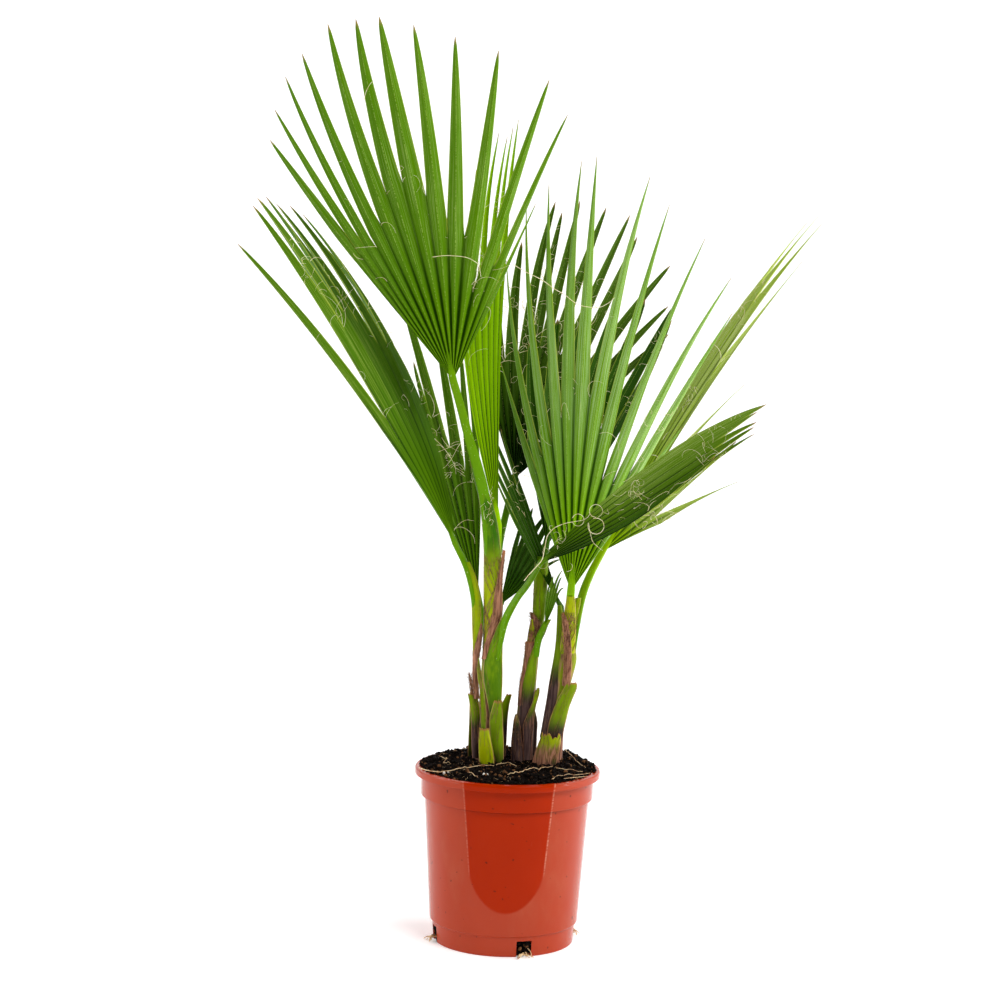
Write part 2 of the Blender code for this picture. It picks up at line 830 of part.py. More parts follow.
def make_soil(material):
    inset = WALL + GAP
    inner = [
        (FOOT_BOTTOM_RADIUS - inset, FLOOR_THICKNESS + GAP),
        (FOOT_TOP_RADIUS - inset, FOOT_HEIGHT - POT_EDGE / 2),
        (BODY_BOTTOM_RADIUS - inset, FOOT_HEIGHT + 2 * POT_EDGE + GAP / 2),
        (BODY_TOP_RADIUS - inset, COLLAR_BOTTOM - POT_EDGE - GAP / 2),
        (COLLAR_RADIUS - inset, COLLAR_BOTTOM + 2 * POT_EDGE + 2 * GAP),
    ]
    rings = []
    for radius, height in inner:
        rings.append([(radius, height)] * SOIL_SIDES)
    for radius in np.linspace(inner[-1][0], SOIL_FLAT_RADIUS, 4):
        ring = []
        for i in range(SOIL_SIDES):
            angle = 2 * math.pi * i / SOIL_SIDES
            ring.append((radius, soil_height(radius, angle)))
        rings.append(ring)
    points = []
    for ring in rings:
        placed = []
        for i, (radius, height) in enumerate(ring):
            angle = 2 * math.pi * i / SOIL_SIDES
            placed.append((radius * math.cos(angle), radius * math.sin(angle), height))
        points.append(placed)
    vertices, faces = loft(points)
    return add_object("soil", vertices, faces, material)


def trunk_solid(name, spec, grow=0.0):
    """The trunk as a lofted oval column; grow makes the slightly larger copy for its hole."""
    rows = np.array(spec["trunk"])
    rings = []
    for x, y, z, across, depth in rows:
        lower = grow if z == STEM_BOTTOM else 0.0
        ring = []
        for i in range(STEM_SIDES):
            angle = 2 * math.pi * (i + 0.5) / STEM_SIDES
            ring.append(
                (
                    x + (across + grow) * math.cos(angle),
                    y + (depth + grow) * math.sin(angle),
                    z - lower,
                )
            )
        rings.append(ring)
    return add_object(name, *loft(rings))


def leaf_base_solid(name, base):
    """A live leaf base: a flattened tube that grows up the trunk and ends under its stalk."""
    route = np.array(base["route"])
    across = np.array((1.0, 0.0, 0.0))
    half_widths = [w / 2 for w in base["width"]]
    half_depths = [t / 2 for t in base["thickness"]]
    rings = tube_rings(route, half_widths, half_depths, across, STALK_SIDES)
    return add_object(name, *loft(rings))


def stub_solid(name, stub):
    """A cut or torn leaf base: a curved plate that hugs the trunk below and stands off above."""
    route = smooth_route(stub["route"], 2)
    widths = np.interp(np.linspace(0, 2, len(route)), [0, 1, 2], stub["width"])
    facing = math.radians(stub["facing"])
    out = np.array((math.cos(facing), math.sin(facing), 0.0))
    across = np.array((-out[1], out[0], 0.0))
    shares = np.linspace(-1.0, 1.0, len(STUB_TEETH))
    rings = []
    for k, centre in enumerate(route):
        outer = []
        inner = []
        for share, tooth in zip(shares, STUB_TEETH):
            point = centre + across * share * widths[k] / 2
            point = point - out * STUB_WRAP * widths[k] * share**2
            if k == len(route) - 1:
                point = point + np.array((0, 0, tooth * stub["torn"] / 2))
            outer.append(point)
            inner.append(point - out * stub["thickness"])
        rings.append(outer + inner[::-1])
    return add_object(name, *loft(rings, plate=True))


def stalk_solid(name, frond, grow=0.0):
    """The stalk from its round foot to the hub, where it runs on as a short tapered rib.

    With grow it is the slightly larger and longer copy that cuts the stalk's socket.
    """
    route = smooth_route(frond["stalk"], 2)
    section = np.array(frond["section"])
    middle, across, _ = ray_frame(frond, 0.5, 0.0)
    steps = np.linalg.norm(np.diff(route, axis=0), axis=1)
    shares = np.concatenate(([0.0], np.cumsum(steps))) / np.sum(steps)
    stations = np.linspace(0.0, 1.0, len(section))
    half_widths = np.interp(shares, stations, section[:, 0]) / 2 + grow
    half_depths = np.interp(shares, stations, section[:, 1]) / 2 + grow
    half_widths[1] = half_widths[0]
    half_depths[1] = half_depths[0]
    if grow:
        route[0] -= unit(route[1] - route[0]) * grow
    else:
        rib = RIB_SHARE * max(row[3] for row in frond["rays"])
        ends = [route[-1] + middle * rib * share for share in (0.5, 1.0)]
        route = np.vstack((route, ends))
        half_widths = np.append(half_widths, half_widths[-1] * RIB_WIDTHS)
        half_depths = np.append(half_depths, half_depths[-1] * RIB_WIDTHS)
    rings = tube_rings(route, half_widths, half_depths, across, STALK_SIDES)
    return add_object(name, *loft(rings))


def ray_values(frond, share):
    """A ray's four values at a share from 0 to 1 across the fan, carried on past the ends."""
    rays = np.array(frond["rays"])
    last = len(rays) - 1
    place = share * last
    index = int(min(max(math.floor(place), 0), last - 1))
    return rays[index] + (rays[index + 1] - rays[index]) * (place - index)


def ray_point(frond, share, radius):
    """A point of the unpleated fan: its bearing turns from the hub's to the tip's."""
    hub_bearing, tip_bearing, lean, length = ray_values(frond, share)
    turned = min(radius / length, 1.0) ** frond["bend"]
    bearing = math.radians(hub_bearing + (tip_bearing - hub_bearing) * turned)
    lean = math.radians(lean)
    way = np.array(
        (
            math.sin(bearing) * math.cos(lean),
            -math.sin(lean),
            math.cos(bearing) * math.cos(lean),
        )
    )
    return np.array(frond["stalk"][-1]) + way * radius


def ray_frame(frond, share, radius):
    """The ways along a ray, across the fan and out of its front at a radius."""
    near = max(radius, NEAREST_RADIUS)
    along = unit(ray_point(frond, share, near) - ray_point(frond, share, near * 0.96))
    ahead = ray_point(frond, share + SHARE_STEP, near)
    across = ahead - ray_point(frond, share - SHARE_STEP, near)
    across = unit(across - along * np.dot(across, along))
    return along, across, np.cross(across, along)


def fan_point(frond, share, radius, across_shift=0.0, lift=0.0):
    """A point of the fan on a ray, moved across the fan and along its front normal."""
    along, across, normal = ray_frame(frond, share, radius)
    return ray_point(frond, share, radius) + across * across_shift + normal * lift, normal


def half_width(frond, share, radius):
    """Half of a segment's width at a radius in the joined part of the fan."""
    step = 0.5 / (frond["segments"] - 1)
    low = ray_point(frond, share - step, radius)
    return 0.5 * np.linalg.norm(ray_point(frond, share + step, radius) - low)


def fan_solid(name, frond, draw):
    """The pleated fan: midribs and folds between them, split towards the tips."""
    count = frond["segments"]
    slope = PLEAT_SLOPE * frond["fold"]
    shares = [k / (count - 1) for k in range(count)]
    edges = [(k - 0.5) / (count - 1) for k in range(count + 1)]
    lengths = [ray_values(frond, s)[3] * draw.uniform(*LENGTH_JITTER) for s in shares]
    splits = []
    for k, edge in enumerate(edges):
        near = [lengths[i] for i in (k - 1, k) if 0 <= i < count]
        place = k / count * (len(frond["joined"]) - 1)
        joined = float(np.interp(place, range(len(frond["joined"])), frond["joined"]))
        splits.append(joined * min(near) * draw.uniform(*SPLIT_JITTER))
    front = []
    back = []

    def add(point, normal):
        front.append(point + normal * BLADE_THICKNESS / 2)
        back.append(point - normal * BLADE_THICKNESS / 2)
        return len(front) - 1

    hub_point, hub_normal = fan_point(frond, 0.5, 0.0)
    apex = add(hub_point, hub_normal)
    ridges = []
    for k, edge in enumerate(edges):
        row = []
        for station in JOINED_STATIONS:
            radius = splits[k] * station
            lift = slope * half_width(frond, edge, radius)
            row.append(add(*fan_point(frond, edge, radius, 0.0, lift / 2)))
        ridges.append(row)
    valleys = []
    for k, share in enumerate(shares):
        row = []
        for station in JOINED_STATIONS:
            radius = (splits[k] + splits[k + 1]) / 2 * station
            lift = slope * half_width(frond, share, radius)
            row.append(add(*fan_point(frond, share, radius, 0.0, -lift / 2)))
        valleys.append(row)
    triangles = []
    rims = []

    def strip(left, right):
        """Two triangles between each pair of steps of two rows of points."""
        for a, b, c, d in zip(left, left[1:], right, right[1:]):
            triangles.append((a, c, d))
            triangles.append((a, d, b))

    for k, share in enumerate(shares):
        joined = (splits[k] + splits[k + 1]) / 2
        free = lengths[k] - joined
        width = half_width(frond, share, joined)
        left_free = [ridges[k][-1]]
        middle_free = [valleys[k][-1]]
        right_free = [ridges[k + 1][-1]]
        for station in FREE_STATIONS:
            radius = joined + free * station
            half = width * (1 - station) ** frond["taper"]
            lift = slope * half / 2
            left_free.append(add(*fan_point(frond, share, radius, -half, lift)))
            middle_free.append(add(*fan_point(frond, share, radius, 0.0, -lift)))
            right_free.append(add(*fan_point(frond, share, radius, half, lift)))
        tip = add(*fan_point(frond, share, lengths[k]))
        left, middle, right = ridges[k], valleys[k], ridges[k + 1]
        triangles.append((apex, middle[0], left[0]))
        triangles.append((apex, right[0], middle[0]))
        strip(middle, left)
        strip(right, middle)
        strip(middle_free, left_free)
        strip(right_free, middle_free)
        triangles.append((left_free[-1], middle_free[-1], tip))
        triangles.append((middle_free[-1], right_free[-1], tip))
        rims.append([*left_free, tip])
        rims.append([*right_free, tip])
    rims.append([apex, *ridges[0]])
    rims.append([apex, *ridges[-1]])
    shift = len(front)
    faces = list(triangles)
    faces += [(c + shift, b + shift, a + shift) for a, b, c in triangles]
    for rim in rims:
        for a, b in zip(rim, rim[1:]):
            faces.append((a, b, b + shift))
            faces.append((a, b + shift, a + shift))
    return add_object(name, front + back, faces)


def make_frond(name, frond, draw):
    fan = fan_solid(name + "_fan", frond, draw)
    stalk = stalk_solid(name, frond)
    combine(stalk, [fan], "UNION")
    largest_body(stalk)
    material = make_material(name + "_leaf", frond["colour"], 0.42)
    stalk.data.materials.clear()
    stalk.data.materials.append(material)
    return stalk


def make_stem(name, spec, material):
    stem = trunk_solid(name, spec)
    parts = []
    for k, base in enumerate(spec["bases"]):
        parts.append(leaf_base_solid(f"{name}_base_{k}", base))
    for k, stub in enumerate(spec["stubs"]):
        parts.append(stub_solid(f"{name}_stub_{k}", stub))
    combine(stem, parts, "UNION")
    sockets = []
    for frond_name, frond in FRONDS.items():
        if frond["stem"] == name:
            sockets.append(stalk_solid(frond_name + "_socket", frond, GAP))
    combine(stem, sockets, "DIFFERENCE")
    largest_body(stem)
    stem.data.materials.clear()
    stem.data.materials.append(material)
    stem.data.shade_smooth()
    stem.data.set_sharp_from_angle(angle=math.radians(40.0))
    return stem


def main():
    clear_scene()
    terracotta = make_material("terracotta_plastic", (0.445, 0.043, 0.009), 0.34)
    peat = make_material("peat", (0.016, 0.010, 0.007), 0.95)
    bark = make_material("leaf_bases", (0.110, 0.180, 0.020), 0.55)
    make_pot(terracotta)
    soil = make_soil(peat)
    holes = [trunk_solid(name + "_hole", spec, GAP) for name, spec in STEMS.items()]
    combine(soil, holes, "DIFFERENCE")
    largest_body(soil)
    for name, spec in STEMS.items():
        make_stem(name, spec, bark)
    draw = random.Random(7)
    for name, frond in FRONDS.items():
        make_frond(name, frond, draw)
    palm = bpy.data.objects.new("potted_fan_palm", None)
    bpy.context.scene.collection.objects.link(palm)
    for obj in list(bpy.context.scene.objects):
        if obj.type == "MESH":
            obj.parent = palm


main()
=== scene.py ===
# %% [markdown]
# # A young fan palm in its nursery pot
#
# A seedling fan palm is sold as a few stems in one plastic pot. Each stem is a bundle of leaf
# bases, and each frond is a stalk that ends in one pleated fan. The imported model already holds
# the pot, the soil, the stems and the fronds at their real size. This lesson makes the surface
# that the eye sees: fine blades with ribs and margins, loose threads, wrapped leaf bases,
# crumbs of peat and glossy moulded plastic. Loading the model first keeps every piece in place.

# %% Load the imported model
import math
import random

import bpy
import numpy as np
from mathutils import Matrix, Vector, noise


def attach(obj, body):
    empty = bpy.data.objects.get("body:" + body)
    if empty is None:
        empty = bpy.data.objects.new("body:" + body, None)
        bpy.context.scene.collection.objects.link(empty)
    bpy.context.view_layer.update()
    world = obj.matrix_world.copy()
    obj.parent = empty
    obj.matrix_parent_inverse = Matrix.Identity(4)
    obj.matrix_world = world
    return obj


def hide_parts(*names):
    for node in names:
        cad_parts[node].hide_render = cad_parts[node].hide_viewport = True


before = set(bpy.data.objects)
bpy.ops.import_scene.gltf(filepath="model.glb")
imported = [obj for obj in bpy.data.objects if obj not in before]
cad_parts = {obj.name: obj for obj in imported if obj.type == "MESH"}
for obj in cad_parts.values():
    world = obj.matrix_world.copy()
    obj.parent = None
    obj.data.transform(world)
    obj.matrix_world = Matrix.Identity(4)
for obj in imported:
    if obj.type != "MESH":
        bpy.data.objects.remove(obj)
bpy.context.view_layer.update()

MILLIMETRE = 0.001


# %% Meshes and objects
def new_mesh(name, points, faces):
    mesh = bpy.data.meshes.new(name)
    mesh.from_pydata(points, [], faces)
    return mesh


def put(name, data):
    """A new object that stands in the scene."""
    made = bpy.data.objects.new(name, data)
    bpy.context.scene.collection.objects.link(made)
    return made

# %% [markdown]
# ## The camera
#
# The photograph looks at the pot from a little above it and is turned by a degree or two. A
# long lens far away keeps the fronds' proportions. The focal length is written in pixels of a
# 1000 pixel picture, as it was worked out from the pot's rings, and becomes millimetres here.

# %% Place the camera
CAMERA_PLACE = (-0.0154, -2.5, 0.70)
CAMERA_PITCH = 5.6
CAMERA_ROLL = 1.6
FOCAL_PIXELS = 2470.0
PICTURE_PIXELS = 1000.0
SENSOR_MM = 36.0

lens = bpy.data.cameras.new("camera")
lens.sensor_width = SENSOR_MM
lens.lens = FOCAL_PIXELS * SENSOR_MM / PICTURE_PIXELS
camera = put("camera", lens)
pitch = Matrix.Rotation(math.radians(90.0 - CAMERA_PITCH), 4, "X")
roll = Matrix.Rotation(math.radians(CAMERA_ROLL), 4, "Z")
camera.matrix_world = Matrix.Translation(CAMERA_PLACE) @ pitch @ roll
bpy.context.scene.camera = camera
print(f"the lens is {lens.lens:.1f} mm")

# %% [markdown]
# ## Shader maths as Python
#
# A material is a graph of nodes. Written out node by node it is long and hard to read, so a
# small class wraps one socket and lets Python's own signs add the Math nodes: with it,
# `1 - mask * 0.5` is a line of shader. A second class holds the material, and its one method
# makes any node from its type, its settings and the values of its sockets.

# %% A socket with arithmetic
class Value:
    """One output socket of a shader; arithmetic on it adds Math nodes."""

    def __init__(self, shader, socket):
        self.shader = shader
        self.socket = socket

    def math(self, operation, first, second=None):
        inputs = {0: first} if second is None else {0: first, 1: second}
        return self.shader.node("ShaderNodeMath", {"operation": operation}, inputs)

    def __add__(self, other):
        return self.math("ADD", self, other)

    def __sub__(self, other):
        return self.math("SUBTRACT", self, other)

    def __rsub__(self, other):
        return self.math("SUBTRACT", other, self)

    def __mul__(self, other):
        return self.math("MULTIPLY", self, other)

    def __pow__(self, other):
        return self.math("POWER", self, other)

    __radd__ = __add__
    __rmul__ = __mul__

    def size(self):
        return self.math("ABSOLUTE", self)

    def most(self, other):
        return self.math("MAXIMUM", self, other)

    def rise(self, low, high):
        """0 below low, 1 above high and a smooth step between them."""
        settings = {"interpolation_type": "SMOOTHSTEP"}
        inputs = {"Value": self, "From Min": low, "From Max": high}
        return self.shader.node("ShaderNodeMapRange", settings, inputs)


# %% A material that makes nodes
class Shader:
    """One material: a Principled surface and the nodes that feed it."""

    def __init__(self, name, **sockets):
        self.material = bpy.data.materials.new(name)
        self.material.use_nodes = True
        self.tree = self.material.node_tree
        self.surface = self.tree.nodes["Principled BSDF"]
        self.paint(**sockets)

    def paint(self, **sockets):
        """Sets or links the surface's sockets; an underscore stands for a space."""
        for socket, value in sockets.items():
            self.feed(self.surface.inputs[socket.replace("_", " ")], value)

    def feed(self, socket, value):
        if isinstance(value, Value):
            self.tree.links.new(value.socket, socket)
        else:
            socket.default_value = value

    def node(self, kind, settings=None, inputs=None, output=0):
        made = self.tree.nodes.new(kind)
        for setting, value in (settings or {}).items():
            setattr(made, setting, value)
        for socket, value in (inputs or {}).items():
            self.feed(made.inputs[socket], value)
        return Value(self, made.outputs[output])

    def stored(self, name):
        """A value that the mesh keeps at each of its points."""
        return self.node("ShaderNodeAttribute", {"attribute_name": name}, output="Fac")

    def place(self, x=1.0, y=1.0, z=1.0):
        """The place on the object, stretched along each axis."""
        object_place = self.node("ShaderNodeTexCoord", output="Object")
        inputs = {0: object_place, 1: (x, y, z)}
        return self.node("ShaderNodeVectorMath", {"operation": "MULTIPLY"}, inputs)

    def parts(self, vector):
        """The three parts of a vector, each as a value."""
        split = self.node("ShaderNodeSeparateXYZ", None, {"Vector": vector})
        return [Value(self, split.socket.node.outputs[k]) for k in range(3)]

    def grid(self, x, y, z=0.0):
        """A vector made of separate values."""
        return self.node("ShaderNodeCombineXYZ", None, {"X": x, "Y": y, "Z": z})

    def noise(self, vector, scale, detail=2.0, roughness=0.5):
        inputs = {"Vector": vector, "Scale": scale, "Detail": detail, "Roughness": roughness}
        return self.node("ShaderNodeTexNoise", None, inputs)

    def mix(self, share, low, high, blend="MIX"):
        settings = {"data_type": "RGBA", "blend_type": blend, "clamp_factor": True}
        return self.node("ShaderNodeMix", settings, {0: share, 6: low, 7: high}, output=2)

    def darken(self, share, base, shares):
        """A colour of which only the given shares are left."""
        return self.mix(share, base, (*shares, 1.0), blend="MULTIPLY")

    def bump(self, height, distance, strength):
        inputs = {"Height": height, "Distance": distance, "Strength": strength}
        self.paint(Normal=self.node("ShaderNodeBump", None, inputs))


def colour(red, green, blue):
    """A colour given in the 0 to 255 steps of a screen, as the linear values a shader uses."""
    linear = []
    for step in (red, green, blue):
        value = step / 255.0
        linear.append(value / 12.92 if value < 0.04045 else ((value + 0.055) / 1.055) ** 2.4)
    return (*linear, 1.0)


def mottled(name, roughness, scale, one, other, low=0.35):
    """A plain material whose colour wavers between two."""
    made = Shader(name, Roughness=roughness)
    cloud = made.noise(made.place(), scale)
    made.paint(Base_Color=made.mix(cloud.rise(low, 0.7), colour(*one), colour(*other)))
    return made.material


print("a deep leaf green is", [round(value, 3) for value in colour(86, 130, 0)])

# %% [markdown]
# ## Pieces of mesh
#
# Every piece here is built from a few kinds of skin: a grid that is bent into a thin plate, and
# a tube that follows a route. Each returns its points, its faces and the values that its
# material reads, so that parts can be joined before they become one object.

# %% Parts, and how they join
UP = np.array((0.0, 0.0, 1.0))
RIGHT = np.array((1.0, 0.0, 0.0))


class Part:
    """Points, faces and named values per point, before they become an object."""

    def __init__(self, points, faces, **values):
        self.points = np.asarray(points, dtype=float)
        self.faces = faces
        count = len(self.points)
        self.values = {key: np.broadcast_to(value, (count,)) for key, value in values.items()}

    def set_height(self, height):
        """Moves the part up or down until its middle is at a height."""
        self.points = self.points + UP * (height - np.mean(self.points[:, 2]))


def join(parts):
    """One part of many; a value that a part lacks is 0 there."""
    names = sorted({name for part in parts for name in part.values})
    points, faces = [], []
    values = {name: [] for name in names}
    shift = 0
    for part in parts:
        points.append(part.points)
        faces += [tuple(index + shift for index in face) for face in part.faces]
        for name in names:
            values[name].append(part.values.get(name, np.zeros(len(part.points))))
        shift += len(part.points)
    joined = {name: np.concatenate(rows) for name, rows in values.items()}
    return Part(np.concatenate(points), faces, **joined)


def unit(vectors):
    return vectors / np.linalg.norm(vectors, axis=-1, keepdims=True)


def cross_off(vector, axis):
    """What is left of a vector once its share along an axis is taken away."""
    return vector - axis * np.sum(vector * axis, axis=-1, keepdims=True)


# %% An object from a part
def add_piece(name, part, material, replaces=None, sharp=40.0):
    mesh = new_mesh(name, part.points.tolist(), part.faces)
    for key, value in part.values.items():
        layer = mesh.attributes.new(key, "FLOAT", "POINT")
        layer.data.foreach_set("value", np.ascontiguousarray(value, dtype=np.float32))
    mesh.materials.append(material)
    mesh.shade_smooth()
    mesh.set_sharp_from_angle(angle=math.radians(sharp))
    piece = put(name, mesh)
    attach(piece, "root")
    if replaces:
        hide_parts(replaces)
    triangles = sum(len(face) - 2 for face in part.faces)
    print(f"{name}: {triangles} triangles")
    return piece


# %% A skin over rings
def skin(rings, closed=True, caps=True, first=0):
    """Faces between rows of equal counts; a closed row joins its last point to its first."""
    rows, count = rings
    faces = []
    steps = count if closed else count - 1
    for row in range(rows - 1):
        base = first + row * count
        for i in range(steps):
            j = (i + 1) % count
            faces.append((base + i, base + j, base + count + j, base + count + i))
    if caps:
        last = first + (rows - 1) * count
        faces.append(tuple(range(first, first + count))[::-1])
        faces.append(tuple(range(last, last + count)))
    return faces


def plate(front, back, **values):
    """A thin closed plate from the grids of points of its two faces."""
    rows, count = front.shape[:2]
    shift = rows * count
    faces = []
    for row in range(rows - 1):
        for i in range(count - 1):
            a = row * count + i
            faces.append((a, a + 1, a + 1 + count, a + count))
            faces.append((a + shift, a + count + shift, a + 1 + count + shift, a + 1 + shift))
        a, b = row * count, (row + 1) * count
        faces.append((b, b + shift, a + shift, a))
        a, b = a + count - 1, b + count - 1
        faces.append((a, a + shift, b + shift, b))
    for i in range(count - 1):
        faces.append((i, i + shift, i + 1 + shift, i + 1))
        a = (rows - 1) * count + i
        faces.append((a + 1, a + 1 + shift, a + shift, a))
    points = np.concatenate((front.reshape(-1, 3), back.reshape(-1, 3)))
    spread = {}
    for key, value in values.items():
        flat = np.broadcast_to(value, (rows, count)).reshape(-1)
        spread[key] = np.concatenate((flat, flat))
    return Part(points, faces, **spread)


# %% A tube along a route
def smooth_route(points, steps):
    """Points on a smooth curve through the given ones, with steps to each stretch."""
    points = np.asarray(points, dtype=float)
    padded = np.vstack((2 * points[0] - points[1], points, 2 * points[-1] - points[-2]))
    route = []
    for before, start, end, after in zip(padded, padded[1:], padded[2:], padded[3:]):
        t = (np.arange(steps) / steps)[:, None]
        bend = (2 * before - 5 * start + 4 * end - after) * t**2
        turn = (3 * start - before - 3 * end + after) * t**3
        route.append(0.5 * (2 * start + (end - before) * t + bend + turn))
    return np.vstack((*route, points[-1:]))


def tube(route, half_widths, half_depths, across, sides, channel=0.0, **values):
    """A closed oval tube; channel is how far its front is hollowed, as a share of its depth."""
    route = np.asarray(route, dtype=float)
    ahead = unit(np.gradient(route, axis=0))
    wide = unit(cross_off(np.broadcast_to(across, ahead.shape), ahead))
    deep = np.cross(ahead, wide)
    angle = 2 * math.pi * (np.arange(sides) + 0.5) / sides
    dent = 1.0 - channel * np.clip(-np.sin(angle), 0.0, 1.0) ** 3
    shape = (len(route), 1, 1)
    rings = route[:, None, :]
    rings = rings + wide[:, None, :] * np.cos(angle)[:, None] * np.reshape(half_widths, shape)
    height = (np.sin(angle) * dent)[:, None]
    rings = rings + deep[:, None, :] * height * np.reshape(half_depths, shape)
    along = np.repeat(np.linspace(0.0, 1.0, len(route)), sides)
    faces = skin((len(route), sides))
    return Part(rings.reshape(-1, 3), faces, along=along, **values)


def hair(route, radius, sides=3, taper=0.6):
    """A thin round tube for threads, fibres, roots and twigs."""
    route = np.asarray(route, dtype=float)
    ahead = unit(np.gradient(route, axis=0))
    level = UP if abs(ahead[:, 2]).mean() < 0.8 else RIGHT
    radii = radius * (1.0 - taper * np.linspace(0.0, 1.0, len(route)) ** 2)
    return tube(route, radii, radii, level, sides)

# %% [markdown]
# ## The fronds' table
#
# Each frond is a fan of rays that leave one hub. A ray has a bearing from upright at the hub and
# at its tip, a lean towards the viewer, and a length, and what lies between two rays is blended
# from them. The same rays shape the solids, so the fine blades lie where the solid ones do. They
# were chosen ray by ray against the photograph, with depths that keep the fronds apart.
#
# The numbers stand as plain text and become arrays here. A row of a stalk is a place in metres,
# one of its section is a width and a depth, and one of the rays is both bearings, the lean and
# the length. The joined values say at which share of their length neighbouring blades split.
# Fold is 1 where midribs are sunk and -1 where they stand in front, taper is how early a blade
# narrows, bend is how late a ray turns, loose is how much the blades differ, and shade is how
# much painted shade darkens the fan at its left and right.

# %% Tables of numbers
def table(width, text):
    """Rows of width numbers each, or one plain row where width is 1."""
    values = np.array(text.split(), dtype=float)
    return values if width == 1 else values.reshape(-1, width)


